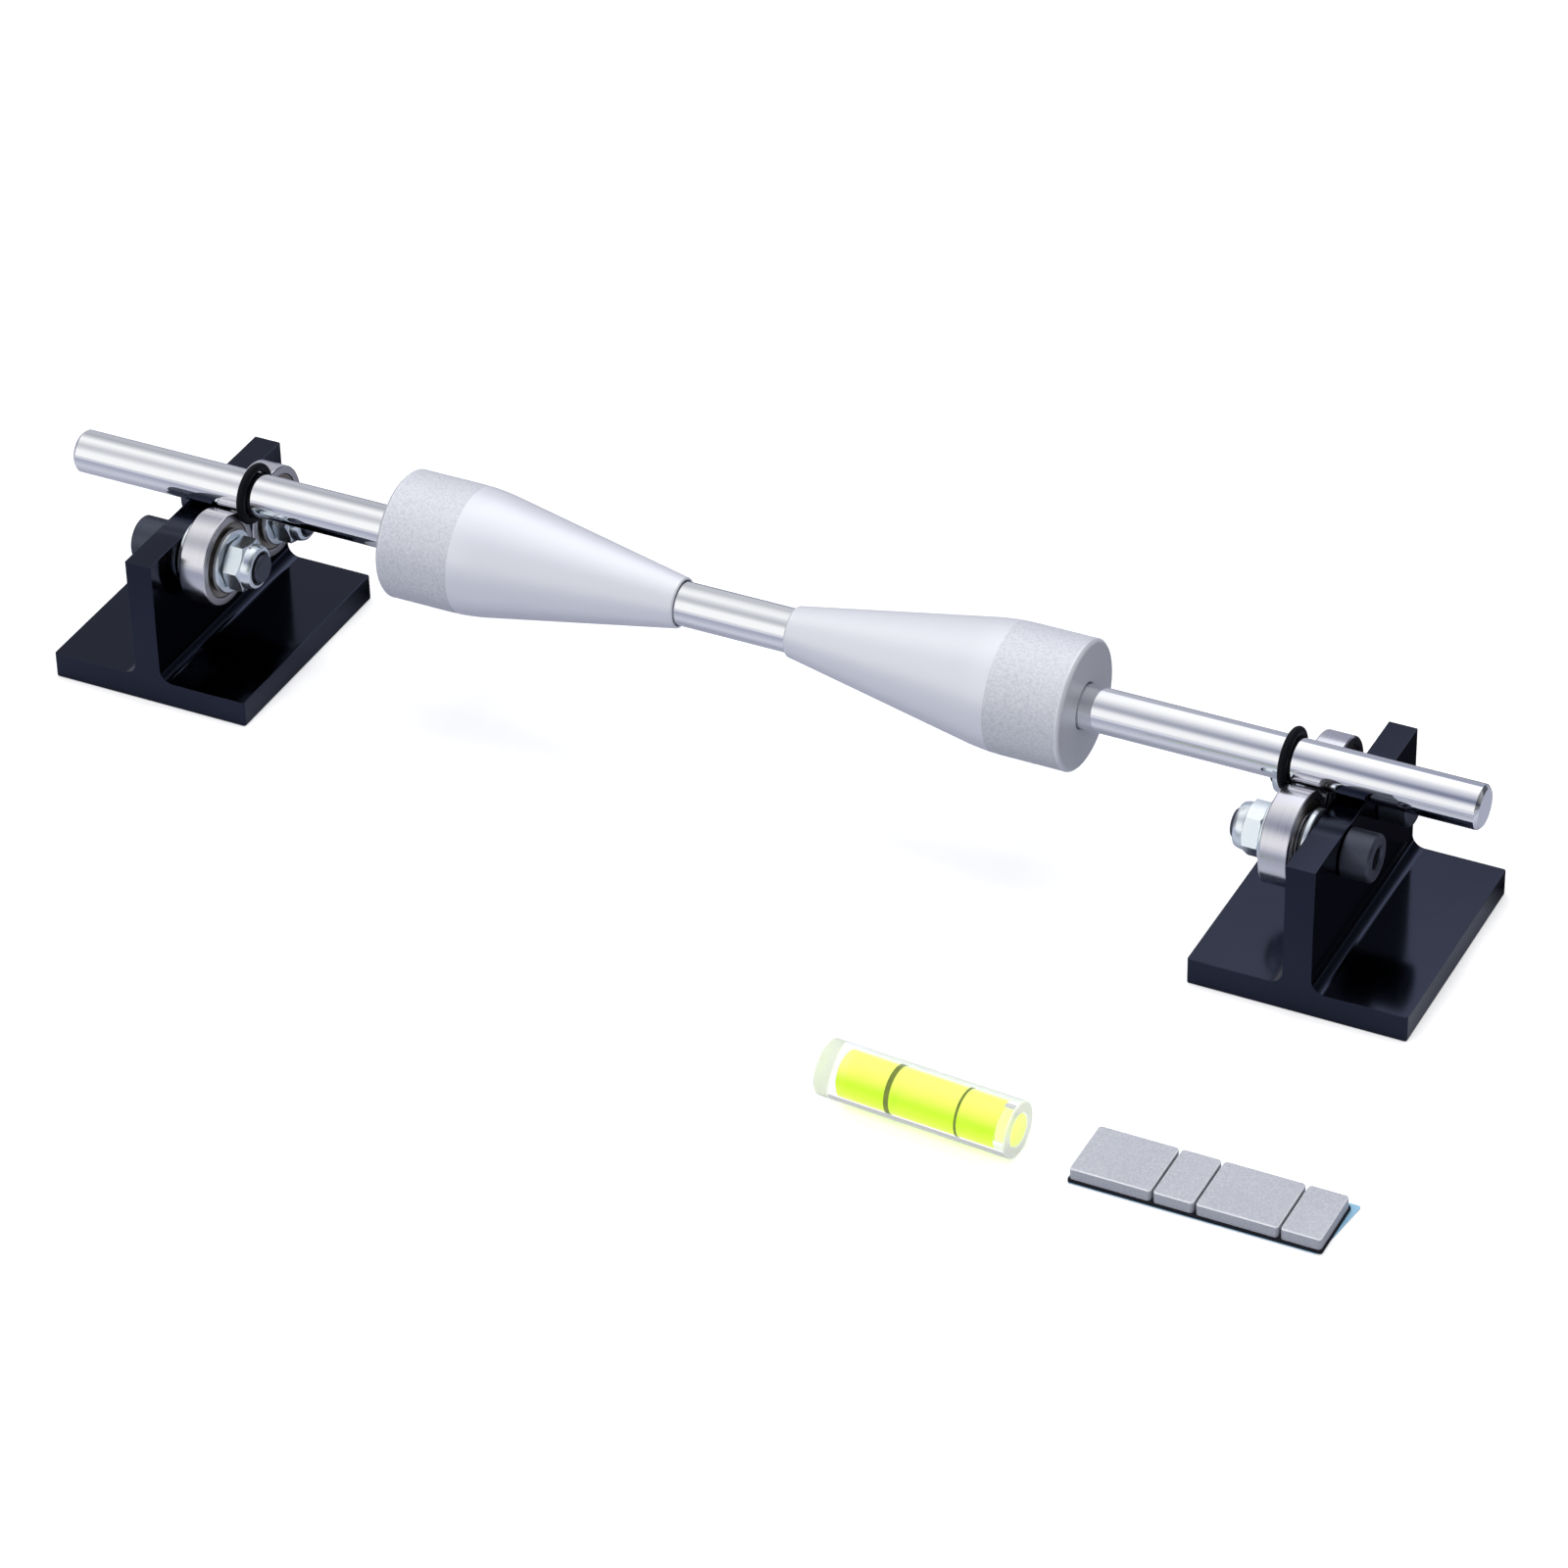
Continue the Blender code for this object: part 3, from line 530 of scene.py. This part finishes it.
# %% Places along a bearing's screw
roller_offset, roller_height = 13.3, 37.1
head_start, flange_start, shoulder_end, bearing_start = -4.25, 4.25, 6.85, 7.1
bearing_end, washer_start, nut_start, nut_end, screw_end = 15.1, 15.35, 17.2, 25.2, 26.5


def roller_place(side, row):
    """Where the axis of one screw lies: its Z points from the web towards the middle."""
    x = 0.0 if side == "left" else stand_span
    return along_shaft(x, -roller_offset if row == "front" else roller_offset, roller_height,
                       1 if side == "left" else -1)


# %% [markdown]
# The screw's section holds its whole story: the hexagon socket with its slanted mouth, the head with
# broken rims, the shank, and a few grooves of thread where the tip looks out of the nut. The side of
# the head is knurled so that fingers can turn it: every second line of points sits a little deeper.

# %% Cap screws
def cap_screw():
    head_end, socket_floor = head_start - 8.0, head_start - 4.0
    section = [
        (0, socket_floor - 0.7, 0), (3.0, socket_floor, 0), (3.0, head_end + 0.55, 0),
        (3.6, head_end, 0), (5.9, head_end, 0.25), (6.5, head_end + 0.6, 0.2),
        (6.5, head_end + 1.3, 0), (6.5, head_start - 1.0, 0), (6.5, head_start, 0.25),
        (4.0, head_start, 0), (4.0, 21.4, 0)]
    for groove in range(3):
        along = 21.7 + 1.25 * groove
        section += [(4.0, along, 0.05), (3.45, along + 0.5, 0.1), (4.0, along + 1.0, 0.05)]
    section += [(4.0, screw_end - 0.5, 0.1), (3.5, screw_end, 0.15), (0, screw_end, 0)]
    shape = lathe(section, 120)
    make_hexagon(shape, 3.0, socket_floor, head_end + 0.55)
    for vert in shape.verts:
        on_side = abs(math.hypot(vert.co.x, vert.co.y) - 6.5 * MM) < 0.01 * MM
        if on_side and (head_end + 1.0) * MM < vert.co.z < (head_start - 0.7) * MM:
            if round(math.degrees(math.atan2(vert.co.y, vert.co.x)) / 3) % 2:
                vert.co.x *= 0.975
                vert.co.y *= 0.975
    return shape


# %% [markdown]
# The nut is 13 mm across its flats. Its collar is rolled inwards over the nylon ring, so it ends in
# a soft round edge. The flanged bush and the washer are plain turned pieces with rolled edges.

# %% Nut, nylon ring, bush and washer
def lock_nut():
    flat, hex_end, turned_by = 6.5, nut_start + 5.0, math.radians(22)
    shape = lathe([
        (4.2, nut_start + 0.4, 0), (4.6, nut_start, 0), (6.2, nut_start, 0), (flat, nut_start + 0.02, 0),
        (flat, hex_end - 0.02, 0), (6.42, hex_end, 0), (6.3, hex_end + 0.1, 0.08),
        (6.3, nut_end - 1.4, 1.0), (5.7, nut_end - 0.15, 0.45), (4.8, nut_end, 0.15),
        (4.8, nut_end - 2.0, 0), (4.2, nut_end - 2.0, 0)], 120)
    make_hexagon(shape, flat, nut_start, hex_end, slant=0.55)
    bmesh.ops.rotate(shape, verts=shape.verts, matrix=Matrix.Rotation(turned_by, 3, "Z"))
    return shape


def nylon_ring():
    return lathe([(4.75, nut_end - 0.15, 0.15), (4.75, nut_end - 1.8, 0), (4.2, nut_end - 1.8, 0),
                  (4.2, nut_end - 0.1, 0.2)], 72)


def flanged_bush():
    rim, flange_end = 9.0, flange_start + 1.6
    return lathe([(4.2, flange_start, 0.1), (rim, flange_start, 0.35), (rim, flange_end, 0.35),
                  (6.8, flange_end, 0.1), (6.8, shoulder_end, 0.15), (4.8, shoulder_end, 0.1),
                  (4.8, bearing_end, 0.1), (4.2, bearing_end, 0)], 96)


def flat_washer():
    end = washer_start + 1.6
    return lathe([(4.2, washer_start, 0.1), (9.0, washer_start, 0.25), (9.0, end, 0.45),
                  (4.2, end, 0.15)], 96)


# %% [markdown]
# A bearing shows three of its parts from outside: the outer ring with its ground rim, the pressed
# shield with a step near its edge where it is crimped into the ring, and the inner ring behind the
# washer. Its balls and their cage are hidden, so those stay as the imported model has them, and the
# rings carry the grooves that the balls run in.

# %% Bearing rings and shields
ball_circle, bearing_middle, race_radius = 9.0, 11.1, 2.38


def race(facing):
    """The groove that the balls run in, outside them (1) or inside (-1), as points of an arc."""
    return [(ball_circle + facing * race_radius * math.cos(math.radians(angle)),
             bearing_middle - facing * race_radius * math.sin(math.radians(angle)), 0)
            for angle in (-47.7, -32, -16, 0, 16, 32, 47.7)]


def outer_ring():
    shape = lathe([(13.0, bearing_start, 0.55), (13.0, bearing_end, 0.55), (10.75, bearing_end, 0.15),
                   (10.6, bearing_end - 1.1, 0), *race(1), (10.6, bearing_start + 1.1, 0),
                   (10.75, bearing_start, 0.15)], 128)
    shape.normal_update()
    # The flat side faces take the darker copy of the steel, a painted shade.
    for face in shape.faces:
        if abs(face.normal.z) > 0.9:
            face.material_index = 1
    return shape


def inner_ring():
    return lathe([(5.0, bearing_start, 0.3), (7.4, bearing_start, 0.25), *race(-1),
                  (7.4, bearing_end, 0.25), (5.0, bearing_end, 0.3)], 96)


def shield(face, inward):
    """A pressed ring; face is the bearing's side face and inward points into the bearing."""
    def at(depth):
        return face + inward * depth
    return lathe([(10.55, at(0.35), 0.1), (10.1, at(0.35), 0.15), (9.85, at(0.6), 0.15),
                  (7.9, at(0.6), 0.1), (7.65, at(0.85), 0.05), (7.65, at(1.05), 0.05),
                  (8.0, at(0.9), 0.1), (9.95, at(0.9), 0.1), (10.2, at(0.7), 0.1),
                  (10.55, at(0.7), 0.1)], 96)


for side in ("left", "right"):
    for row in ("front", "rear"):
        name, stand = f"{side}_{row}", f"{side}_stand"
        where = roller_place(side, row)
        for label, shape, finish, node in (
                ("cap_screw", cap_screw(), black_oxide, "cap_screw"),
                ("bush", flanged_bush(), bright_zinc, "flanged_bush"),
                ("bearing_inner_ring", inner_ring(), bearing_steel, "inner_ring"),
                ("flat_washer", flat_washer(), bright_zinc, "washer"),
                ("nut", lock_nut(), bright_zinc, "lock_nut"),
                ("nut_nylon_ring", nylon_ring(), black_nylon, "nylon_insert")):
            add_piece(f"{name}_{label}", shape, finish, stand, [f"{name}_{node}"], where=where)
        bearing = f"{name}_bearing"
        add_piece(f"{name}_bearing_outer_ring", outer_ring(), [bearing_steel, ring_side_painted_shade], bearing,
                  [f"{name}_outer_ring"], where=where)
        add_piece(f"{name}_bearing_outboard_shield", shield(bearing_start, 1), shield_steel, bearing,
                  [f"{name}_outboard_shield"], where=where)
        add_piece(f"{name}_bearing_inboard_shield", shield(bearing_end, -1), shield_steel, bearing,
                  [f"{name}_inboard_shield"], where=where)
        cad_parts[f"{name}_ball_cage"].material_slots[0].material = bearing_steel

# %% [markdown]
# ## The shaft and its rubber rings
# The shaft is one long cylinder with chamfered ends. The rings are rubber of round section, made by
# spinning a small circle round the shaft.

# %% Shaft and rubber rings
shaft_middle, shaft_height = 167.2, 51.086
shaft_radius, shaft_half = 6.0, 205.0

shaft_shape = lathe([(0, -shaft_half, 0), (5.0, -shaft_half, 0.15), (6.0, 1.0 - shaft_half, 0.15),
                     (6.0, shaft_half - 1.0, 0.15), (5.0, shaft_half, 0.15), (0, shaft_half, 0)], 128)
add_piece("chromed_shaft", shaft_shape, chrome, "shaft", ["shaft"],
          where=along_shaft(shaft_middle, 0, shaft_height))


def rubber_ring_shape(section=2.4, inside=6.2):
    shape = bmesh.new()
    middle = (inside + section / 2) * MM
    circle = bmesh.ops.create_circle(
        shape, segments=24, radius=section / 2 * MM,
        matrix=Matrix.Translation((middle, 0, 0)) @ Matrix.Rotation(math.pi / 2, 4, "X"))
    bmesh.ops.spin(shape, geom=circle["verts"] + list(shape.edges), cent=(0, 0, 0), axis=(0, 0, 1),
                   angle=2 * math.pi, steps=72, use_merge=True)
    bmesh.ops.remove_doubles(shape, verts=shape.verts, dist=1e-7)
    bmesh.ops.recalc_face_normals(shape, faces=shape.faces)
    return shape


for side, ring_x in (("left", 16.6), ("right", 320.2)):
    add_piece(f"{side}_shaft_ring", rubber_ring_shape(), rubber, f"{side}_ring",
              [f"{side}_rubber_ring"], where=along_shaft(ring_x, 0, shaft_height))

# %% [markdown]
# ## The cones
# A cone is bored through, with a short barrel at its large end and a long slope to a thin nose. The
# shoulder between them is a wide soft curve: one corner of the section, rounded a lot. The grained
# band is cut into fine rings, its faces take their own finish, and every point of its skin sinks in
# by a random share of a tenth of a millimetre, so the pebbled surface is there to be felt.

# %% Cones
cone_radius, cone_length, shoulder_at, shoulder_rounding = 17.75, 83.4, 23.4, 5.4
band_start, band_end = 1.2, 21.5
grain_rows, grain_width, grain_depth = 54, 0.75, 0.12
grub_distance = 9.0


def cone_shape():
    shape = lathe([
        (6.3, 0.4, 0), (6.7, 0, 0), (16.95, 0, 0.3), (cone_radius, 0.8, 0.3),
        (cone_radius, shoulder_at, shoulder_rounding), (6.95, cone_length - 0.3, 0.15),
        (6.65, cone_length, 0.1), (6.3, cone_length, 0.1)], 300)
    for number in range(grain_rows + 1):
        cut = band_start + (band_end - band_start) * number / grain_rows
        bmesh.ops.bisect_plane(
            shape, geom=list(shape.verts) + list(shape.edges) + list(shape.faces),
            plane_co=(0, 0, cut * MM), plane_no=(0, 0, 1))
    for face in shape.faces:
        middle = face.calc_center_median()
        outside = math.hypot(middle.x, middle.y) > 17.0 * MM
        if outside and band_start * MM < middle.z < band_end * MM:
            face.material_index = 1
    for vert in shape.verts:
        radius = math.hypot(vert.co.x, vert.co.y)
        if radius > 17.0 * MM and (band_start + 0.1) * MM < vert.co.z < (band_end - 0.1) * MM:
            depth = grain_depth * (0.5 + 0.5 * random_field.noise(vert.co / (grain_width * MM)))
            vert.co.x *= 1 - depth * MM / radius
            vert.co.y *= 1 - depth * MM / radius
    return shape


def grub_screw_shape():
    """A headless screw, its socket at the top."""
    top = 16.25
    shape = lathe([(0, top - 3.4, 0), (1.25, top - 3.0, 0), (1.25, top - 0.25, 0), (1.55, top, 0),
                   (2.0, top, 0), (2.5, top - 0.5, 0.1), (2.5, 6.8, 0.1), (2.0, 6.3, 0), (0, 6.3, 0)],
                  60)
    make_hexagon(shape, 1.25, top - 3.0, top - 0.25)
    return shape


for side, face_x, facing in (("left", 63.8, 1), ("right", 263.1, -1)):
    add_piece(f"{side}_cone_body", cone_shape(), [satin_silver, grained_silver], f"{side}_cone",
              [f"{side}_cone"],
              where=along_shaft(face_x, 0, shaft_height, facing))
    screw_x = (face_x + facing * grub_distance) * MM
    add_piece(f"{side}_cone_set_screw", grub_screw_shape(), black_oxide, f"{side}_grub_screw",
              [f"{side}_cone_grub_screw"],
              where=Matrix.Translation((screw_x, 0, shaft_height * MM))
              @ Matrix.Rotation(-math.pi / 2, 4, "X"))

# %% [markdown]
# ## The bubble vial
# A thick clear tube, blind at one end and plugged at the other. Inside is the liquid with its
# bubble, and two fine rings on the wall of the bore mark where the bubble should stand. The liquid
# is made a hair wider than the bore, so that no film of air is left between them: such a film would
# shine like a mirror.

# %% Vial
vial_radius, vial_half, chamber_radius, plug_radius = 7.5, 27.0, 4.5, 4.3
chamber_start, plug_start = -22.0, 23.0
liquid_radius, mark_radius = chamber_radius + 0.03, chamber_radius + 0.06
vial_place = (Matrix.Translation((270.1 * MM, -114.8 * MM, vial_radius * MM))
              @ Matrix.Rotation(math.radians(-3.7), 4, "Z") @ Matrix.Rotation(math.pi / 2, 4, "Y"))

tube_shape = lathe([
    (0, -vial_half, 0), (vial_radius, -vial_half, 0.6), (vial_radius, vial_half, 0.5),
    (chamber_radius, vial_half, 0.2), (chamber_radius, chamber_start, 0.5), (0, chamber_start, 0)], 96)
for face in tube_shape.faces:
    if abs(face.calc_center_median().z) > (vial_half - 0.5) * MM:
        face.material_index = 1
plug_shape = lathe([(0, vial_half, 0), (plug_radius, vial_half, 0.3), (plug_radius, plug_start, 0.2),
                    (0, plug_start, 0)], 72)
liquid_shape = lathe([(0, chamber_start + 0.2, 0), (liquid_radius, chamber_start + 0.2, 0.5),
                      (liquid_radius, plug_start - 0.2, 0.3), (0, plug_start - 0.2, 0)], 96)
bubble_shape = bmesh.new()
bmesh.ops.create_uvsphere(bubble_shape, u_segments=32, v_segments=20, radius=1)
bmesh.ops.scale(bubble_shape, vec=(1.5 * MM, 1.5 * MM, 5.0 * MM), verts=bubble_shape.verts)
bmesh.ops.translate(bubble_shape, vec=(-2.8 * MM, 0, 0.5 * MM), verts=bubble_shape.verts)

vial_pieces = [
    add_piece("vial_clear_tube", tube_shape, [clear_acrylic, cut_acrylic_painted_glow], "vial", ["vial_tube"],
              where=vial_place),
    add_piece("vial_end_plug", plug_shape, plug_plastic_painted_glow, "vial", ["vial_plug"],
              where=vial_place),
    add_piece("vial_green_liquid", liquid_shape, green_liquid, "vial", ["vial_liquid"],
              where=vial_place),
    add_piece("vial_air_bubble", bubble_shape, air, "vial_bubble", ["vial_bubble"],
              where=vial_place)]
for label, along, width in (("left", -7.3, 1.4), ("right", 12.0, 0.7)):
    mark = lathe([(mark_radius, along - width / 2, 0), (mark_radius + 0.1, along - width / 2, 0),
                  (mark_radius + 0.1, along + width / 2, 0), (mark_radius, along + width / 2, 0)], 96)
    vial_pieces.append(add_piece(f"vial_{label}_mark", mark, mark_paint, "vial",
                                 where=vial_place))
for made in vial_pieces:
    made.visible_glossy = False

# %% [markdown]
# ## The stick-on weights
# Each weight is a slab with rounded corners and a softly rounded rim. The strip has them large,
# small, large, small, on one black foam tape. The film under the tape was cut a little askew, so it
# shows as a blue edge only at the far right corner: that one corner of its slab is pulled outwards.

# %% Weight strip
strip_x, strip_y = 345.55, -112.0
weight_lengths = (21.5, 10.6, 21.5, 10.6)
weight_depth, weight_height, weight_gap = 18.7, 3.2, 0.63


def slab(size, base, corner, rim):
    """A box on its base height with its upright corners and its upper rim rounded."""
    shape = bmesh.new()
    bmesh.ops.create_cube(shape, size=1)
    bmesh.ops.transform(shape, verts=shape.verts, matrix=Matrix.Translation(
        (0, 0, (base + size[2] / 2) * MM)) @ Matrix.Diagonal((*(Vector(size) * MM), 1)))
    top = (base + size[2]) * MM
    bevel_edges(shape, lambda edge: abs(edge.verts[0].co.z - edge.verts[1].co.z) > 0.1 * MM,
                corner, 5)
    bevel_edges(shape, lambda edge: all(v.co.z > top - 0.01 * MM for v in edge.verts), rim, 4)
    return shape


strip_total = sum(weight_lengths) + weight_gap * 3
start = strip_x - strip_total / 2
for number, length in enumerate(weight_lengths, 1):
    weight_shape = slab((length, weight_depth, weight_height), 1.1, 1.0, 0.45)
    weight_shape.normal_update()
    for face in weight_shape.faces:
        # The sloping rim faces take the painted highlight finish.
        if 0.2 < face.normal.z < 0.98:
            face.material_index = 1
    add_piece(f"stick_on_weight_{number}", weight_shape, [weight_steel, rim_highlight_paint], "weight_strip",
              [f"weight_{number}"],
              where=Matrix.Translation(((start + length / 2) * MM, strip_y * MM, 0)))
    start += length + weight_gap
tape_size = (strip_total + 0.8, weight_depth + 0.8, 0.8)
add_piece("weight_foam_tape", slab(tape_size, 0.25, 0.8, 0.2), foam, "weight_strip", ["foam_tape"],
          where=Matrix.Translation((strip_x * MM, strip_y * MM, 0)))

film_shape = slab((*tape_size[:2], 0.2), 0.0, 0.8, 0.06)
film_overhang, film_shortfall = 1.8, 0.8
for vert in film_shape.verts:
    if vert.co.x > 0 and vert.co.y > 0:
        vert.co.x += film_overhang * MM
        vert.co.y += film_overhang * MM
    elif vert.co.x > 0:
        vert.co.x -= film_shortfall * MM
add_piece("weight_backing_film", film_shape, blue_film, "weight_strip",
          ["backing_film"], where=Matrix.Translation((strip_x * MM, strip_y * MM, 0)))

# %% [markdown]
# ## Studio
# The picture has a pure white ground, but metal needs something to reflect. So the floor and the
# world answer each kind of ray on its own: the camera sees white, soft light falls evenly on the
# pieces, and mirrors see long white lamps with grey gaps between them, laid along the shaft.

# %% Floor
floor_shape = bmesh.new()
bmesh.ops.create_grid(floor_shape, x_segments=8, y_segments=8, size=3)
floor_mesh = bpy.data.meshes.new("floor")
floor_shape.to_mesh(floor_mesh)
floor_shape.free()
floor = bpy.data.objects.new("floor", floor_mesh)
floor.location = (0.17, 0, -0.0002)
bpy.context.collection.objects.link(floor)

paper = bpy.data.materials.new("studio_paper")
paper.use_nodes = True
tree = paper.node_tree
tree.nodes.clear()
ray = add_node(tree, "ShaderNodeLightPath")
through = add_node(tree, "ShaderNodeMath", {1: 1.0}, {0: ray.outputs["Transmission Depth"]},
                   operation="MINIMUM").outputs["Value"]
seen = add_node(tree, "ShaderNodeMath", links={0: ray.outputs["Is Camera Ray"], 1: through},
                operation="MAXIMUM").outputs["Value"]
matte = add_node(tree, "ShaderNodeBsdfDiffuse")
floor_place = add_node(tree, "ShaderNodeTexCoord").outputs["Object"]
floor_axes = add_node(tree, "ShaderNodeSeparateXYZ", links={"Vector": floor_place})
floor_share = add_node(tree, "ShaderNodeMapRange", {"From Min": -0.4, "From Max": 0.1},
                       {"Value": floor_axes.outputs["Y"]}).outputs["Result"]
floor_bands = [(-400, 0.72), (-250, 0.50), (-160, 0.36), (-110, 0.40), (-70, 0.48), (-45, 0.57),
               (-20, 0.48), (0, 0.40), (100, 0.38)]
floor_tone = add_ramp(tree, floor_share, [((y + 400) / 500, level) for y, level in floor_bands], 0.75)

# Painted shadow: in the floor's mirror picture, the zone behind each stand is made nearly black,
# standing in for the stands' shadow there.
from_middle = add_node(tree, "ShaderNodeMath", {1: 0.5 * stand_span * MM - floor.location.x},
                       {0: floor_axes.outputs["X"]}, operation="SUBTRACT").outputs["Value"]
from_stand = add_node(tree, "ShaderNodeMath", {1: 0.5 * stand_span * MM}, {
    0: add_node(tree, "ShaderNodeMath", links={0: from_middle}, operation="ABSOLUTE")
    .outputs["Value"]}, operation="SUBTRACT").outputs["Value"]
beside = add_node(tree, "ShaderNodeMath", links={0: from_stand}, operation="ABSOLUTE")
beside = add_node(tree, "ShaderNodeMapRange", {
    "From Min": 32 * MM, "From Max": 48 * MM, "To Min": 1.0, "To Max": 0.0},
    {"Value": beside.outputs["Value"]}).outputs["Result"]
behind = add_node(tree, "ShaderNodeMapRange", {"From Min": 25 * MM, "From Max": 37 * MM},
                  {"Value": floor_axes.outputs["Y"]}).outputs["Result"]
painted_stand_shadow = add_node(tree, "ShaderNodeMath", links={0: beside, 1: behind},
                  operation="MULTIPLY").outputs["Value"]
floor_tone = blend_colours(tree, painted_stand_shadow, floor_tone, (0.02, 0.02, 0.03))

bounce = blend_colours(tree, ray.outputs["Is Camera Ray"], (0.45, 0.46, 0.52), (0.88, 0.88, 0.89))
tree.links.new(blend_colours(tree, ray.outputs["Is Glossy Ray"], bounce, floor_tone),
               matte.inputs["Color"])
glow = add_node(tree, "ShaderNodeEmission", {"Color": (1, 1, 1, 1)})
extra = between(tree, through, 0.0, 0.3)
glow_level = add_node(tree, "ShaderNodeMath", {1: 0.38}, {0: seen, 2: extra},
                      operation="MULTIPLY_ADD").outputs["Value"]
tree.links.new(glow_level, glow.inputs["Strength"])
both = add_node(tree, "ShaderNodeAddShader", links={0: matte.outputs["BSDF"],
                                                    1: glow.outputs["Emission"]})
out = add_node(tree, "ShaderNodeOutputMaterial", links={"Surface": both.outputs["Shader"]})
floor_mesh.materials.append(paper)

# %% World
world = bpy.data.worlds.new("studio")
bpy.context.scene.world = world
world.use_nodes = True
tree = world.node_tree
tree.nodes.clear()
ray = add_node(tree, "ShaderNodeLightPath")
direction = add_node(tree, "ShaderNodeTexCoord").outputs["Generated"]
axes = add_node(tree, "ShaderNodeSeparateXYZ", links={"Vector": direction})
towards = add_node(tree, "ShaderNodeMath", {1: -1.0}, {0: axes.outputs["Y"]}, operation="MULTIPLY")
height = add_node(tree, "ShaderNodeMath", links={0: axes.outputs["Z"], 1: towards.outputs["Value"]},
                  operation="ARCTAN2").outputs["Value"]
share = add_node(tree, "ShaderNodeMapRange", {"From Min": 0.0, "From Max": math.pi},
                 {"Value": height}).outputs["Result"]
left_bands = [(0, 1.0), (28, 1.0), (38, 0.85), (50, 0.65), (62, 0.6), (76, 0.8), (92, 1.0),
              (102, 1.0), (122, 0.6), (138, 0.42), (150, 0.5), (180, 0.5)]
middle_bands = [(0, 0.95), (10, 1.0), (34, 1.0), (46, 0.7), (56, 0.52), (66, 0.58), (78, 0.75),
                (92, 0.95), (112, 0.92), (124, 0.8), (138, 0.6), (180, 0.55)]
right_bands = [(0, 0.85), (10, 0.95), (20, 0.95), (30, 0.75), (38, 0.4), (47, 0.18), (56, 0.25),
               (67, 0.48), (78, 0.65), (98, 1.0), (112, 1.2), (140, 1.45), (144, 0.5), (155, 0.33),
               (180, 0.35)]
lamp_rows = [add_ramp(tree, share, [(degrees / 180, level) for degrees, level in bands], tint)
             for bands, tint in ((left_bands, 0.85), (middle_bands, 0.85), (right_bands, 0.72))]
to_middle = add_node(tree, "ShaderNodeMapRange", {"From Min": -0.44, "From Max": -0.37},
                     {"Value": axes.outputs["X"]}).outputs["Result"]
to_right = add_node(tree, "ShaderNodeMapRange", {"From Min": -0.37, "From Max": -0.27},
                    {"Value": axes.outputs["X"]}).outputs["Result"]
mirrored = blend_colours(tree, to_right, blend_colours(tree, to_middle, *lamp_rows[:2]),
                         lamp_rows[2])
sideways = add_node(tree, "ShaderNodeMapRange", {"From Min": -1.0, "From Max": 1.0},
                    {"Value": axes.outputs["X"]}).outputs["Result"]
side_bands = [(-1.0, 0.1), (-0.86, 0.15), (-0.74, 1.0), (0.0, 1.0), (0.25, 0.3), (1.0, 0.2)]
side_level = add_ramp(tree, sideways, [((x + 1) / 2, level) for x, level in side_bands])
mirror_view = add_node(tree, "ShaderNodeBackground", links={"Color": mirrored, "Strength": side_level})
soft_light = add_node(tree, "ShaderNodeBackground", {"Color": (0.95, 0.96, 1.0, 1), "Strength": 0.45})
white_ground = add_node(tree, "ShaderNodeBackground", {"Color": (1, 1, 1, 1)}, {
    "Strength": between(tree, ray.outputs["Is Camera Ray"], 0.65, 1.0)})
lit = add_node(tree, "ShaderNodeMixShader", links={
    "Fac": ray.outputs["Is Glossy Ray"], 1: soft_light.outputs["Background"],
    2: mirror_view.outputs["Background"]})
through = add_node(tree, "ShaderNodeMath", {1: 1.0}, {0: ray.outputs["Transmission Depth"]},
                   operation="MINIMUM").outputs["Value"]
seen = add_node(tree, "ShaderNodeMath", links={0: ray.outputs["Is Camera Ray"], 1: through},
                operation="MAXIMUM").outputs["Value"]
mixed = add_node(tree, "ShaderNodeMixShader", links={
    "Fac": seen, 1: lit.outputs["Shader"], 2: white_ground.outputs["Background"]})
add_node(tree, "ShaderNodeOutputWorld", links={"Surface": mixed.outputs["Shader"]})

# %% Lamps
def lamp(name, place, target, size, power):
    data = bpy.data.lights.new(name, "AREA")
    data.shape = "RECTANGLE"
    data.size, data.size_y = size
    data.energy = power
    made = bpy.data.objects.new(name, data)
    made.location = place
    made.rotation_euler = (Vector(target) - Vector(place)).to_track_quat("-Z", "Y").to_euler()
    made.visible_glossy = False
    bpy.context.collection.objects.link(made)


lamp("key", (0.0, -0.9, 1.5), (0.17, 0, 0), (1.4, 0.8), 11)
lamp("top", (0.17, 0.3, 1.6), (0.17, 0, 0), (1.6, 0.8), 11)
